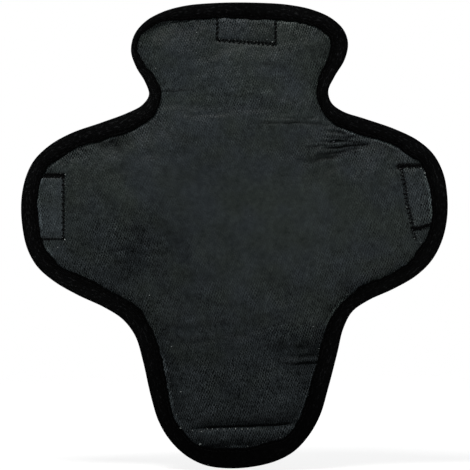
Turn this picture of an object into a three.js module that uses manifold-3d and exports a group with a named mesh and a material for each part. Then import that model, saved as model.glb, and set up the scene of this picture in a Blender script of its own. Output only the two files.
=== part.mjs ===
// Kick shield: a thin, cross-shaped soft pad bound in tape, with a forearm strap
// and a hand loop on its back.
//
// Frame, in millimetres: X across the shield, Z up its height, -Y out of the struck
// face, +Y out of the strap side. Left is -X and right is +X. The origin is under the
// middle of the whole shield, strap included, at the height of its lowest edge. The
// pieces are laid out from the rim plane, Y = 0, between front foam and impact core;
// at the end the whole shield moves forward by RIM_FORWARD.

import * as THREE from 'three';
import { mergeVertices } from 'three/addons/utils/BufferGeometryUtils.js';
import Module from 'manifold-3d';

const wasm = await Module();
wasm.setup();

// ---------------------------------------------------------------- shared dimensions
const GAP = 0.3;              // space left between pieces that lie on each other
const RIM_FORWARD = 25.9;     // from the middle of the whole depth to the rim plane

const WEB_WIDTH = 50;         // nylon webbing
const WEB_THICK = 2.0;
const PLY_PITCH = WEB_THICK + GAP;   // between the centres of two plies sewn together

// ---------------------------------------------------------------- solids
// a closed surface, turned so that its faces look outwards
function solid(positions, triangles) {
  const corner = (i) => new THREE.Vector3().fromArray(positions, 3 * i);
  let volume = 0;
  for (const [a, b, c] of triangles) volume += corner(a).dot(corner(b).cross(corner(c)));
  const outward = volume < 0 ? triangles.map(([a, b, c]) => [a, c, b]) : triangles;
  const geometry = new THREE.BufferGeometry();
  geometry.setAttribute('position', new THREE.Float32BufferAttribute(positions, 3));
  geometry.setIndex(outward.flat());
  return geometry;
}

// Joins rings of equal length in order. An open stack is closed by a flat cap at each
// end; a closed one joins its last ring to its first, as a tube bent round on itself.
// A panel is a rectangle [x0, z0, x1, z1] set into the cap of the first ring.
function ringStack(rings, { closed = false, panel = null } = {}) {
  const count = rings[0].length;
  const positions = rings.flat().flatMap((p) => [p.x, p.y, p.z]);
  const triangles = [];
  const bands = closed ? rings.length : rings.length - 1;
  for (let k = 0; k < bands; k++) {
    const here = k * count;
    const next = ((k + 1) % rings.length) * count;
    for (let i = 0; i < count; i++) {
      const j = (i + 1) % count;
      triangles.push([here + i, here + j, next + j], [here + i, next + j, next + i]);
    }
  }
  if (closed) return solid(positions, triangles);

  const capOf = (ring, holes) => THREE.ShapeUtils.triangulateShape(
    ring.map((p) => new THREE.Vector2(p.x, p.z)), holes);
  const last = (rings.length - 1) * count;
  for (const t of capOf(rings[rings.length - 1], [])) triangles.push(t.map((i) => last + i));

  const base = rings.length * count;
  const holes = [];
  if (panel) {
    const [x0, z0, x1, z1] = panel;
    const corners = [[x0, z0], [x0, z1], [x1, z1], [x1, z0]];
    for (const [x, z] of corners) positions.push(x, rings[0][0].y, z);
    holes.push(corners.map(([x, z]) => new THREE.Vector2(x, z)));
    triangles.push([base, base + 1, base + 2], [base, base + 2, base + 3]);
  }
  for (const t of capOf(rings[0], holes))
    triangles.push(t.map((i) => (i < count ? i : base + i - count)).reverse());
  return solid(positions, triangles);
}

function toManifold(source) {
  const bare = source.clone();
  bare.deleteAttribute('normal');
  bare.deleteAttribute('uv');
  const merged = mergeVertices(bare, 1e-4);
  return new wasm.Manifold(new wasm.Mesh({
    numProp: 3,
    vertProperties: new Float32Array(merged.attributes.position.array),
    triVerts: new Uint32Array(merged.index.array),
  }));
}

function fromManifold(manifold) {
  const mesh = manifold.getMesh();
  const geometry = new THREE.BufferGeometry();
  geometry.setAttribute('position', new THREE.Float32BufferAttribute(mesh.vertProperties, 3));
  geometry.setIndex(Array.from(mesh.triVerts));
  return geometry;
}

// ---------------------------------------------------------------- flat lines
// the two edges of a band of even thickness along a line, mitred at its corners
function bandEdges(line, thickness) {
  return line.map(([x, y], i) => {
    const before = line[Math.max(i - 1, 0)];
    const after = line[Math.min(i + 1, line.length - 1)];
    const arriving = new THREE.Vector2(x - before[0], y - before[1]);
    const leaving = new THREE.Vector2(after[0] - x, after[1] - y);
    if (i === 0) arriving.copy(leaving);
    if (i === line.length - 1) leaving.copy(arriving);
    arriving.normalize();
    leaving.normalize();
    const middle = arriving.clone().add(leaving).normalize();
    const reach = thickness / 2 / Math.max(middle.dot(arriving), 0.5);
    return {
      left: [x - middle.y * reach, y + middle.x * reach],
      right: [x + middle.y * reach, y - middle.x * reach],
    };
  });
}

// a strip of even thickness along a line in its own X, Y, its width centred on Z = 0
function strip(line, thickness, width) {
  const edges = bandEdges(line, thickness);
  const outline = [...edges.map((e) => e.left), ...edges.map((e) => e.right).reverse()];
  const shape = new THREE.Shape(outline.map(([x, y]) => new THREE.Vector2(x, y)));
  const geometry = new THREE.ExtrudeGeometry(shape, { depth: width, bevelEnabled: false });
  geometry.translate(0, 0, -width / 2);
  return geometry;
}

const onCircle = (centre, radius, angle) =>
  [centre[0] + radius * Math.cos(angle), centre[1] + radius * Math.sin(angle)];

const arc = (centre, radius, from, to, steps) => Array.from({ length: steps + 1 },
  (_, i) => onCircle(centre, radius, from + (to - from) * i / steps));

// evenly spaced points on a smooth line through the given ones
function smooth(points, step) {
  const curve = new THREE.CatmullRomCurve3(
    points.map(([x, y]) => new THREE.Vector3(x, y, 0)), false, 'centripetal');
  const count = Math.max(2, Math.round(curve.getLength() / step));
  return curve.getSpacedPoints(count).map((p) => [p.x, p.y]);
}

// ---------------------------------------------------------------- pad outline
const RIM_SAMPLES = 128;      // corners of each ring of the pad
const PAD_CENTRE = [0, 235];  // X, Z: the rings of the pad shrink towards this point

// X, Z of the pad's edge, anticlockwise seen from the struck face
const OUTLINE = [
  [15.0, 371.8], [-15.5, 371.5], [-39.9, 369.2], [-57.7, 364.2], [-71.3, 356.5], [-79.8, 346.1],
  [-82.5, 333.1], [-78.4, 320.3], [-71.4, 308.6], [-68.2, 298.2], [-73.6, 290.1], [-85.6, 283.7],
  [-106.7, 275.9], [-129.8, 267.8], [-146.9, 258.3], [-159.6, 246.2], [-166.5, 232.3],
  [-170.0, 214.2], [-169.4, 194.6], [-165.3, 175.5], [-157.3, 161.1], [-144.1, 149.4],
  [-125.5, 138.6], [-103.3, 128.2], [-88.7, 118.6], [-79.0, 105.4], [-73.2, 86.7], [-66.7, 58.0],
  [-60.4, 37.5], [-51.3, 22.4], [-38.7, 10.3], [-23.9, 2.8], [-6.6, 0.1], [14.0, 1.2], [33.0, 5.8],
  [47.5, 13.5], [59.5, 26.3], [68.5, 42.4], [75.2, 64.9], [82.3, 92.4], [86.9, 111.3],
  [94.1, 125.0], [106.6, 133.9], [127.1, 143.3], [144.9, 153.6], [157.4, 165.8], [165.6, 181.3],
  [169.8, 199.4], [169.9, 219.0], [166.6, 236.2], [158.9, 250.8], [146.6, 261.8], [128.2, 270.9],
  [104.1, 279.2], [86.5, 285.1], [77.6, 291.9], [75.1, 301.4], [80.1, 312.7], [88.1, 326.2],
  [90.8, 339.2], [87.3, 350.0], [77.6, 359.3], [62.5, 366.1], [42.4, 370.2],
];
const rimCurve = new THREE.CatmullRomCurve3(
  OUTLINE.map(([x, z]) => new THREE.Vector3(x, 0, z)), true, 'centripetal');

// one ring of points, inset from the edge and then shrunk towards the pad centre
function rimRing(inset, y, shrink = 1) {
  const [centreX, centreZ] = PAD_CENTRE;
  return Array.from({ length: RIM_SAMPLES }, (_, i) => {
    const point = rimCurve.getPoint(i / RIM_SAMPLES);
    const tangent = rimCurve.getTangent(i / RIM_SAMPLES);
    const x = point.x - tangent.z * inset;
    const z = point.z + tangent.x * inset;
    return new THREE.Vector3(
      centreX + (x - centreX) * shrink, y, centreZ + (z - centreZ) * shrink);
  });
}

const RIM_PROBES = 512;       // points of the edge that distances are measured to
const rimProbes = Array.from({ length: RIM_PROBES }, (_, i) => rimCurve.getPoint(i / RIM_PROBES));
const rimDistance = (x, z) => Math.min(...rimProbes.map((p) => Math.hypot(p.x - x, p.z - z)));

// ---------------------------------------------------------------- covers and binding
const BIND_WIDTH = 12.5;      // binding seen on each face
const BIND_TAPE = 1.2;        // thickness of the binding tape
const BIND_BEVEL = 1.4;       // bevel on the outer edges of the binding
const COVER_RIM = 13.2;       // inset at which the covers start to rise

// side: sign of Y; rimY: outer face at the rim; rise: height of the crown; skin: thickness
const FRONT = { side: -1, rimY: 2.0, rise: 7.5, skin: 1.0 };
const BACK = { side: 1, rimY: 2.2, rise: 5.3, skin: 1.2 };

// the crown: fraction of the way out from the pad centre, fraction of the rise
const CROWN = [[1.0, 0.0], [0.955, 0.28], [0.88, 0.58], [0.76, 0.84], [0.6, 0.96], [0.42, 1.0]];
const REST_PANEL = [-30, 205, 30, 250];   // X0, Z0, X1, Z1: flat middle of each face

// rings of a face's crown from the rim inwards, at a depth below its outer surface
const crownRings = ({ side, rimY, rise }, depth = 0) => CROWN.map(([outward, height]) =>
  rimRing(COVER_RIM, side * (rimY - depth + rise * height), outward));

const frontCrown = crownRings(FRONT);
const backCrown = crownRings(BACK);

function cover(face) {
  const edgeInset = BIND_TAPE + GAP;
  return ringStack([
    ...crownRings(face).reverse(),
    rimRing(edgeInset, face.side * face.rimY),
    rimRing(edgeInset, face.side * (face.rimY - face.skin)),
    ...crownRings(face, face.skin),
  ], { panel: REST_PANEL });
}

// inner and outer faces of the binding's two legs
const BIND_FRONT_IN = -(FRONT.rimY + GAP);
const BIND_FRONT_OUT = BIND_FRONT_IN - BIND_TAPE;
const BIND_BACK_IN = BACK.rimY + GAP;
const BIND_BACK_OUT = BIND_BACK_IN + BIND_TAPE;

// a U of tape round the whole rim, legs lying on both covers
function edgeBinding() {
  const section = [   // inset, Y
    [BIND_WIDTH, BIND_FRONT_IN],
    [BIND_WIDTH, BIND_FRONT_OUT],
    [BIND_BEVEL, BIND_FRONT_OUT],
    [0, BIND_FRONT_OUT + BIND_BEVEL],
    [0, BIND_BACK_OUT - BIND_BEVEL],
    [BIND_BEVEL, BIND_BACK_OUT],
    [BIND_WIDTH, BIND_BACK_OUT],
    [BIND_WIDTH, BIND_BACK_IN],
    [BIND_TAPE, BIND_BACK_IN],
    [BIND_TAPE, BIND_FRONT_IN],
  ];
  return ringStack(section.map(([inset, y]) => rimRing(inset, y)), { closed: true });
}

// ---------------------------------------------------------------- stuffing
// X0, X1, Z0, Z1 of blocks cut from the stuffing; ends at 200 and 400 are past the pad
const BACKING_AREAS = {
  top: [-15.5, 34.5, 338, 400],
  left: [-200, -135, 181, 235.5],
  right: [132, 200, 182.5, 242.5],
};
const BACKING_CLEARANCE = 1.5;            // between a backing patch and the stuffing
const LOWER_CUT = [-100, 100, -10, 36.5];
const LOWER_ROLL = [-40, 50, 10, 30.5];
const BLOCK_HALF_DEPTH = 20;              // deeper than the pad

function block([x0, x1, z0, z1], grow = 0) {
  const geometry = new THREE.BoxGeometry(
    x1 - x0 + 2 * grow, 2 * BLOCK_HALF_DEPTH, z1 - z0 + 2 * grow);
  geometry.translate((x0 + x1) / 2, 0, (z0 + z1) / 2);
  return toManifold(geometry);
}

// everything between the rim plane and the inside of one cover
const fullStuffing = (face) => toManifold(ringStack([
  rimRing(COVER_RIM, face.side * GAP / 2, CROWN[1][0]),
  ...crownRings(face, face.skin + GAP).slice(1),
]));
const fullFoam = fullStuffing(FRONT);
const fullCore = fullStuffing(BACK);

// stuffing that stops short of the stitched boxes and of the lower seam
function trimmedStuffing(full) {
  let trimmed = full;
  for (const area of Object.values(BACKING_AREAS))
    trimmed = trimmed.subtract(block(area, BACKING_CLEARANCE));
  return fromManifold(trimmed.subtract(block(LOWER_CUT)));
}

const stuffingWithin = (full, area) => fromManifold(full.intersect(block(area)));

// ---------------------------------------------------------------- thread
const THREAD_W = 1.1;
const THREAD_H = 0.7;
const THREAD_STEP = 3;        // longest step of a row, so that it follows the crown
const THREAD_TRIM = COVER_RIM + 0.4;      // thread nearer the edge than this is left out

// stitched boxes and the lower seam, X, Z on the struck face
const TOP_BOX = [[-13.5, 358.6], [-13.5, 341.5], [32.6, 338.3], [32.6, 358.6]];
const LEFT_BOX = [[-158, 233.5], [-135.8, 233.5], [-135.8, 183.1], [-158, 183.1]];
const RIGHT_BOX = [[158, 241.0], [133.0, 240.3], [142.2, 191.4], [160, 195.2]];
const LOWER_SEAM = [[-26.6, 33.2], [37.8, 33.8]];

// Y of the triangle a, b, c at X, Z, or null outside it
function triangleY(a, b, c, x, z) {
  const area = (b.x - a.x) * (c.z - a.z) - (c.x - a.x) * (b.z - a.z);
  const toB = ((x - a.x) * (c.z - a.z) - (c.x - a.x) * (z - a.z)) / area;
  const toC = ((b.x - a.x) * (z - a.z) - (x - a.x) * (b.z - a.z)) / area;
  if (!(toB >= -1e-9 && toC >= -1e-9 && toB + toC <= 1 + 1e-9)) return null;
  return a.y + toB * (b.y - a.y) + toC * (c.y - a.y);
}

// Y of a cover's outer face at X, Z, from the rings of its crown
function coverY(rings, x, z) {
  const count = rings[0].length;
  for (let k = 0; k + 1 < rings.length; k++) {
    for (let i = 0; i < count; i++) {
      const j = (i + 1) % count;
      const a = rings[k][i];
      const c = rings[k + 1][j];
      const y = triangleY(a, rings[k][j], c, x, z) ?? triangleY(a, c, rings[k + 1][i], x, z);
      if (y !== null) return y;
    }
  }
  // off the crown's slope: on the flat middle, or out on the rim
  const middleRadius = 90;
  const fromCentre = Math.hypot(x - PAD_CENTRE[0], z - PAD_CENTRE[1]);
  return (fromCentre < middleRadius ? rings[rings.length - 1] : rings[0])[0].y;
}

// a row of thread lying on the struck face along corner points, trimmed at the binding
function threadRow(corners) {
  const points = [corners[0]];
  for (let i = 0; i + 1 < corners.length; i++) {
    const [[x0, z0], [x1, z1]] = [corners[i], corners[i + 1]];
    const steps = Math.ceil(Math.hypot(x1 - x0, z1 - z0) / THREAD_STEP);
    for (let k = 1; k <= steps; k++)
      points.push([x0 + (x1 - x0) * k / steps, z0 + (z1 - z0) * k / steps]);
  }
  const line = points.filter(([x, z]) => rimDistance(x, z) > THREAD_TRIM);
  const positions = bandEdges(line, THREAD_W).flatMap(({ left, right }, i) => {
    const low = coverY(frontCrown, ...line[i]) - GAP;
    const high = low - THREAD_H;
    return [[right, low], [left, low], [left, high], [right, high]]
      .flatMap(([[x, z], y]) => [x, y, z]);
  });
  const triangles = [];
  for (let i = 0; i + 1 < line.length; i++)
    for (let k = 0; k < 4; k++) {
      const a = 4 * i + k;
      const b = 4 * i + (k + 1) % 4;
      triangles.push([a, b, b + 4], [a, b + 4, a + 4]);
    }
  const end = 4 * (line.length - 1);
  triangles.push([2, 1, 0], [3, 2, 0], [end, end + 1, end + 2], [end, end + 2, end + 3]);
  return solid(positions, triangles);
}

// ---------------------------------------------------------------- webbing on the back
// centre height of webbing lying on the back at u, the X of its own frame: it rests on
// the highest point of cover or binding under its full width
function restY(frame, u) {
  let top = -Infinity;
  for (let k = -4; k <= 4; k++) {
    const p = new THREE.Vector3(u, 0, WEB_WIDTH / 2 * k / 4).applyMatrix4(frame.matrix);
    const onBinding = rimDistance(p.x, p.z) < BIND_WIDTH + 1;
    top = Math.max(top, onBinding ? BIND_BACK_OUT : coverY(backCrown, p.x, p.z));
  }
  return top + GAP + WEB_THICK / 2;
}

// ---------------------------------------------------------------- ring of the strap
// Strap pieces are drawn in a frame with X along the strap, Y out and Z across its width.
const STRAP_SLOPE = THREE.MathUtils.degToRad(30);    // slope of the strap and ring at the ring
const RING_MID = [118, 16.4];
const RING_SPAN = 16;         // between the centres of its two long bars
const RING_INNER = 53;        // clear length between its short sides
const RING_WIRE_R = 1.8;
const RING_WIRE_SIDES = 10;
const RING_CORNER_R = 5;
const RING_CORNER_STEPS = 5;

// a point moved along the ring's slope, towards +X and down, and out of the ring's plane
const ringOffset = ([x, y], along, out) => [
  x + Math.cos(STRAP_SLOPE) * along + Math.sin(STRAP_SLOPE) * out,
  y - Math.sin(STRAP_SLOPE) * along + Math.cos(STRAP_SLOPE) * out,
];
const strapBar = ringOffset(RING_MID, -RING_SPAN / 2, 0);
const tabBar = ringOffset(RING_MID, RING_SPAN / 2, 0);

// a rounded rectangle of round wire, its long bars across the strap
function wireRing() {
  const cornerX = RING_SPAN / 2 - RING_CORNER_R;
  const cornerZ = RING_INNER / 2 + RING_WIRE_R - RING_CORNER_R;
  const path = [];
  [[1, 1], [-1, 1], [-1, -1], [1, -1]].forEach(([signX, signZ], quarter) => {
    for (let k = 0; k <= RING_CORNER_STEPS; k++) {
      const angle = (quarter + k / RING_CORNER_STEPS) * Math.PI / 2;
      path.push({ centre: [signX * cornerX, signZ * cornerZ], angle });
    }
  });
  const rings = Array.from({ length: RING_WIRE_SIDES }, (_, k) => {
    const around = 2 * Math.PI * k / RING_WIRE_SIDES;
    const radius = RING_CORNER_R + RING_WIRE_R * Math.cos(around);
    return path.map(({ centre, angle }) => {
      const [x, z] = onCircle(centre, radius, angle);
      return new THREE.Vector3(x, RING_WIRE_R * Math.sin(around), z);
    });
  });
  const geometry = ringStack(rings, { closed: true });
  geometry.rotateZ(-STRAP_SLOPE);
  geometry.translate(RING_MID[0], RING_MID[1], 0);
  return geometry;
}

// ---------------------------------------------------------------- forearm strap
// the strap's line climbs slightly from the left box to the right box
const STRAP_MID_Z = 212.4;
const STRAP_CLIMB = Math.atan2(8.2, 293);
const STRAP_LEFT_END = -152.5;
const STRAP_FLAT_END = -140;  // the sewn left end lies flat up to here
const SEWN_STEP = 4;          // between the points of a sewn end
const STRAP_ARCH = [          // X, Y
  [-134, 8.9], [-127, 10.9], [-115, 18.0], [-97, 32.0], [-72, 46.5], [-42, 56.0],
  [-10, 59.5], [22, 56.8], [48, 49.6], [72, 38.6], [92, 27.0],
];
const STRAP_BEND_R = 4.65;    // centre line of the strap round its bar
const BAR_LEAD = 4;           // straight run of the strap just before its bar

// the tail is folded back over the strap and held by hook and loop;
// places on it are lengths along the strap from the ring
const TAIL_START = 3.3;
const TAIL_END = 82;
const TAIL_CLOSING = [4, 28]; // where the tail draws in to the strap
const LOOP_PATCH = [24, 112];
const HOOK_PATCH = [30, 68];
const PATCH_THICK = 1.2;
const PATCH_GAP = 0.25;       // between a patch and its webbing
const PATCH_WIDTH = WEB_WIDTH - 3;
const PATCH_OFFSET = WEB_THICK / 2 + PATCH_GAP + PATCH_THICK / 2;
// between the centre lines of strap and tail, over the open bend and where pressed together
const TAIL_OPEN = 2 * STRAP_BEND_R;
const TAIL_CLOSED = WEB_THICK + 2 * (PATCH_GAP + PATCH_THICK) + GAP;

const END_BINDING_START = 71;
const END_TAPE = 0.8;
const END_OVERHANG = 0.4;     // centre of the binding's turn, past the end of the tail

const strapFrame = new THREE.Group();
strapFrame.position.set(0, 0, STRAP_MID_Z);
strapFrame.rotation.y = -STRAP_CLIMB;
strapFrame.updateMatrix();

// from the left box over the arch to the underside of the strap's bar
function strapLine() {
  const sewnEnd = [];
  for (let u = STRAP_LEFT_END; u <= STRAP_FLAT_END; u += SEWN_STEP)
    sewnEnd.push([u, restY(strapFrame, u)]);
  return smooth([
    ...sewnEnd,
    ...STRAP_ARCH,
    ringOffset(strapBar, -BAR_LEAD, -STRAP_BEND_R),
    ringOffset(strapBar, 0, -STRAP_BEND_R),
  ], 6);
}
const mainLine = strapLine();

// the same line taken from the ring, to lay the tail and its patches on
const fromRing = smooth([...mainLine].reverse(), 2.0);
const lengths = [0];
for (let i = 1; i < fromRing.length; i++) {
  const [[x0, y0], [x1, y1]] = [fromRing[i - 1], fromRing[i]];
  lengths.push(lengths[i - 1] + Math.hypot(x1 - x0, y1 - y0));
}

// the point at a length from the ring and a height out from the strap's centre line
function overStrap(length, height) {
  let i = 1;
  while (i < lengths.length - 1 && lengths[i] < length) i++;
  const part = (length - lengths[i - 1]) / (lengths[i] - lengths[i - 1]);
  const [[x0, y0], [x1, y1]] = [fromRing[i - 1], fromRing[i]];
  const before = fromRing[Math.max(i - 2, 0)];
  const after = fromRing[Math.min(i + 1, fromRing.length - 1)];
  const along = new THREE.Vector2(after[0] - before[0], after[1] - before[1]).normalize();
  return [x0 + (x1 - x0) * part + along.y * height, y0 + (y1 - y0) * part - along.x * height];
}

// a line over the strap between two lengths; the height is a number or a function of length
function lineOverStrap(start, end, height, step = 4) {
  const count = Math.max(2, Math.round((end - start) / step));
  return Array.from({ length: count + 1 }, (_, i) => {
    const length = start + (end - start) * i / count;
    return overStrap(length, typeof height === 'function' ? height(length) : height);
  });
}

const tailHeight = (length) => TAIL_OPEN
  + (TAIL_CLOSED - TAIL_OPEN) * THREE.MathUtils.smoothstep(length, ...TAIL_CLOSING);

// the strap, turned round its bar as far as the start of the tail
function forearmStrap() {
  const bendEnd = Math.PI / 2 - STRAP_SLOPE;
  const bend = arc(strapBar, STRAP_BEND_R, bendEnd - Math.PI, bendEnd, 10).slice(1, -1);
  const tailStub = lineOverStrap(0, TAIL_START - GAP, tailHeight, 1.5);
  return strip([...mainLine, ...bend, ...tailStub], WEB_THICK, WEB_WIDTH);
}

const strapTail = () =>
  strip(lineOverStrap(TAIL_START, TAIL_END, tailHeight), WEB_THICK, WEB_WIDTH);

const patch = (place, height) =>
  strip(lineOverStrap(...place, height), PATCH_THICK, PATCH_WIDTH);

// tape folded round the end of the tail
function tailEndBinding() {
  const wrap = WEB_THICK / 2 + GAP + END_TAPE / 2;
  const tip = overStrap(TAIL_END + END_OVERHANG, TAIL_CLOSED);
  const inward = overStrap(TAIL_END - 2, TAIL_CLOSED);
  const heading = Math.atan2(tip[1] - inward[1], tip[0] - inward[0]);
  const leg = (height) => lineOverStrap(END_BINDING_START, TAIL_END, height);
  return strip([
    ...leg(TAIL_CLOSED - wrap),
    ...arc(tip, wrap, heading + Math.PI / 2, heading - Math.PI / 2, 8).slice(1, -1),
    ...leg(TAIL_CLOSED + wrap).reverse(),
  ], END_TAPE, WEB_WIDTH + 1);
}

// ---------------------------------------------------------------- ring tab
const TAB_OUTER_END = 152.0;
const TAB_FLAT_END = 134;     // the sewn end lies flat up to here
const TAB_LOOP_R = 3.35;      // centre line of the tab round its bar
const TAB_TURN = [-Math.PI / 2 - 0.12, -Math.PI * 1.5 - 0.5];   // angles round the bar
const TAB_LOWER = [[131, 9.0], [127.6, 8.75]];   // X, Y between sewn end and bar
const TAB_UPPER = [131.5, 13.4];                 // X, Y on the way back from the bar

// webbing folded round the ring's other bar, both ends sewn into the right box
function ringTab() {
  const lowerPly = [];
  for (let u = TAB_OUTER_END; u >= TAB_FLAT_END; u -= SEWN_STEP)
    lowerPly.push([u, restY(strapFrame, u)]);
  const flatEnd = lowerPly[lowerPly.length - 1];
  const turn = arc(tabBar, TAB_LOOP_R, ...TAB_TURN, 12);
  const toBar = smooth([flatEnd, ...TAB_LOWER, turn[0]], 2);
  const fromBar = smooth([
    turn[turn.length - 1],
    TAB_UPPER,
    [flatEnd[0] + 2, flatEnd[1] + PLY_PITCH + 0.9],
  ], 2.5);
  const upperPly = [...lowerPly].reverse().slice(1).map(([u, y]) => [u, y + PLY_PITCH]);
  return strip([
    ...lowerPly,
    ...toBar.slice(1, -1),
    ...turn,
    ...fromBar.slice(1, -1),
    ...upperPly,
  ], WEB_THICK, WEB_WIDTH);
}

// ---------------------------------------------------------------- hand loop
// Drawn in a frame whose X is the shield's Z and whose width runs across the shield.
const LOOP_X = 9.6;           // middle of the loop's width
const LOOP_ANCHOR = [357.0, 352, 347, 343, 338.6];   // Z down the sewn ends
const LOOP_HINGE_Z = LOOP_ANCHOR[4] - GAP;
// inner leg: Z, height over webbing lying LOOP_LIFT above its rest
const LOOP_INNER = [[330, 0], [316, 0], [300, 0], [284, 0.3], [268, 1.2]];
const LOOP_LIFT = 0.25;
// the turn at the bottom and the outer leg: Z, Y
const LOOP_BOTTOM = [[257, 12.9], [251.5, 20.5], [253.5, 29.0], [261, 36.0]];
const LOOP_OUTER = [
  [271, 41.2], [284, 43.4], [298, 39.8], [311, 31.5], [322, 22.4], [331, 14.4],
];
const LOOP_RETURN_Z = 335.2;  // where the outer leg comes down to the hinge
const SLEEVE = [3, 9];        // part of the outer leg that is sleeved, in steps of its line
const SLEEVE_WALL = 2.4;

const loopFrame = new THREE.Group();
loopFrame.position.set(LOOP_X, 0, 0);
loopFrame.rotation.y = -Math.PI / 2;
loopFrame.updateMatrix();

// both sewn ends of the loop, as one block of two plies
const handLoopAnchor = () => strip(
  LOOP_ANCHOR.map((u) => [u, restY(loopFrame, u) + PLY_PITCH / 2]),
  PLY_PITCH + WEB_THICK, WEB_WIDTH);

function handLoop() {
  const hingeY = restY(loopFrame, LOOP_HINGE_Z) + 0.1;
  return strip(smooth([
    [LOOP_HINGE_Z, hingeY],
    ...LOOP_INNER.map(([u, height]) => [u, restY(loopFrame, u) + LOOP_LIFT + height]),
    ...LOOP_BOTTOM,
    ...LOOP_OUTER,
    [LOOP_RETURN_Z, hingeY + PLY_PITCH + 1.0],
    [LOOP_HINGE_Z, hingeY + PLY_PITCH],
  ], 4.5), WEB_THICK, WEB_WIDTH);
}

// a flat tube round the outer leg; its bore is cut one step past each end
function gripSleeve() {
  const leg = smooth([...LOOP_BOTTOM.slice(-2), ...LOOP_OUTER], 5);
  const [start, end] = SLEEVE;
  const around = (line, margin) =>
    toManifold(strip(line, WEB_THICK + 2 * margin, WEB_WIDTH + 2 * margin));
  return fromManifold(around(leg.slice(start, end + 1), GAP + SLEEVE_WALL)
    .subtract(around(leg.slice(start - 1, end + 2), GAP)));
}

// ---------------------------------------------------------------- materials
const finish = ({ color, roughness, metalness = 0 }) =>
  new THREE.MeshStandardMaterial({ color, roughness, metalness });
const lining = () => finish({ color: '#2a302f', roughness: 0.62 });
const binding = () => finish({ color: '#08090a', roughness: 0.85 });
const webbing = () => finish({ color: '#0d0e0f', roughness: 0.8 });
const thread = () => finish({ color: '#050505', roughness: 0.7 });
const foam = () => finish({ color: '#3a3d40', roughness: 0.95 });
const core = () => finish({ color: '#24262a', roughness: 0.8 });
const backing = () => finish({ color: '#16181a', roughness: 0.75 });
const loopPile = () => finish({ color: '#0b0b0c', roughness: 0.95 });
const hookPile = () => finish({ color: '#0a0a0b', roughness: 0.7 });
const wire = () => finish({ color: '#8d9194', roughness: 0.3, metalness: 0.9 });
const sleeve = () => finish({ color: '#1a1c1e', roughness: 0.7 });

// ---------------------------------------------------------------- assembly
function addPiece(parent, name, geometry, material) {
  const mesh = new THREE.Mesh(geometry, material);
  mesh.name = name;
  parent.add(mesh);
}

const shield = new THREE.Group();
addPiece(shield, 'front_cover', cover(FRONT), lining());
addPiece(shield, 'front_foam', trimmedStuffing(fullFoam), foam());
addPiece(shield, 'impact_core', trimmedStuffing(fullCore), core());
addPiece(shield, 'back_cover', cover(BACK), lining());
addPiece(shield, 'edge_binding', edgeBinding(), binding());
addPiece(shield, 'lower_edge_roll', stuffingWithin(fullFoam, LOWER_ROLL), foam());
for (const [place, area] of Object.entries(BACKING_AREAS))
  addPiece(shield, `${place}_backing_patch`, stuffingWithin(fullCore, area), backing());
addPiece(shield, 'top_box_thread', threadRow(TOP_BOX), thread());
addPiece(shield, 'left_box_thread', threadRow(LEFT_BOX), thread());
addPiece(shield, 'right_box_thread', threadRow(RIGHT_BOX), thread());
addPiece(shield, 'lower_seam_thread', threadRow(LOWER_SEAM), thread());

shield.add(strapFrame);
addPiece(strapFrame, 'forearm_strap', forearmStrap(), webbing());
addPiece(strapFrame, 'strap_loop_patch', patch(LOOP_PATCH, PATCH_OFFSET), loopPile());
addPiece(strapFrame, 'ring_tab', ringTab(), webbing());
addPiece(strapFrame, 'strap_ring', wireRing(), wire());
addPiece(strapFrame, 'strap_tail', strapTail(), webbing());
addPiece(strapFrame, 'tail_hook_patch', patch(HOOK_PATCH, TAIL_CLOSED - PATCH_OFFSET), hookPile());
addPiece(strapFrame, 'tail_end_binding', tailEndBinding(), binding());

shield.add(loopFrame);
addPiece(loopFrame, 'hand_loop_anchor', handLoopAnchor(), webbing());
addPiece(loopFrame, 'hand_loop', handLoop(), webbing());
addPiece(loopFrame, 'grip_sleeve', gripSleeve(), sleeve());

shield.position.set(0, -RIM_FORWARD, 0);
const part = new THREE.Group();
part.add(shield);

export default part;
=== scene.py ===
"""A padded strike shield: a soft pad with a taped rim, webbing straps and a metal ring behind it.

The pad stands upright in the XZ plane. The struck face looks towards -Y and the straps are on the
+Y side. Left and right are as seen from the struck face, so left is -X. Lengths are in
millimetres, with Y measured from the rim's mid-plane, and become metres as each mesh is made.
"""
import bpy
import math
import numpy as np
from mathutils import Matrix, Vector


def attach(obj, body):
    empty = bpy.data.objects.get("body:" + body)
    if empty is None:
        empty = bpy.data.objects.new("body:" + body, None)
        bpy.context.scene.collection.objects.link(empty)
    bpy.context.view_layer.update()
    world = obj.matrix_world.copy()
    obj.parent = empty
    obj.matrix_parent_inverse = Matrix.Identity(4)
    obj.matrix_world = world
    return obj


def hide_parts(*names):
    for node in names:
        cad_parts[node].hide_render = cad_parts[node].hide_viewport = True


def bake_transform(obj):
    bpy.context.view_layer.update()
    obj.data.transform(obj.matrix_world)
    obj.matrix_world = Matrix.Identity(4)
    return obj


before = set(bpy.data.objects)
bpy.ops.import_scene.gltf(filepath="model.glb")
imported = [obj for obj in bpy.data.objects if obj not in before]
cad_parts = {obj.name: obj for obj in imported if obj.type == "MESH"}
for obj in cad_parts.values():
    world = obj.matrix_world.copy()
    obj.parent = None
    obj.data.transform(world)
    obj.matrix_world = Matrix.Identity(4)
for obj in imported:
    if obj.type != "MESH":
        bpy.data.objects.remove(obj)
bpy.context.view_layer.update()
MM = 0.001
SET_BACK = -25.9              # Y of the rim's mid-plane in the shared frame
STITCH_RNG = np.random.RandomState(7)

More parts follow.
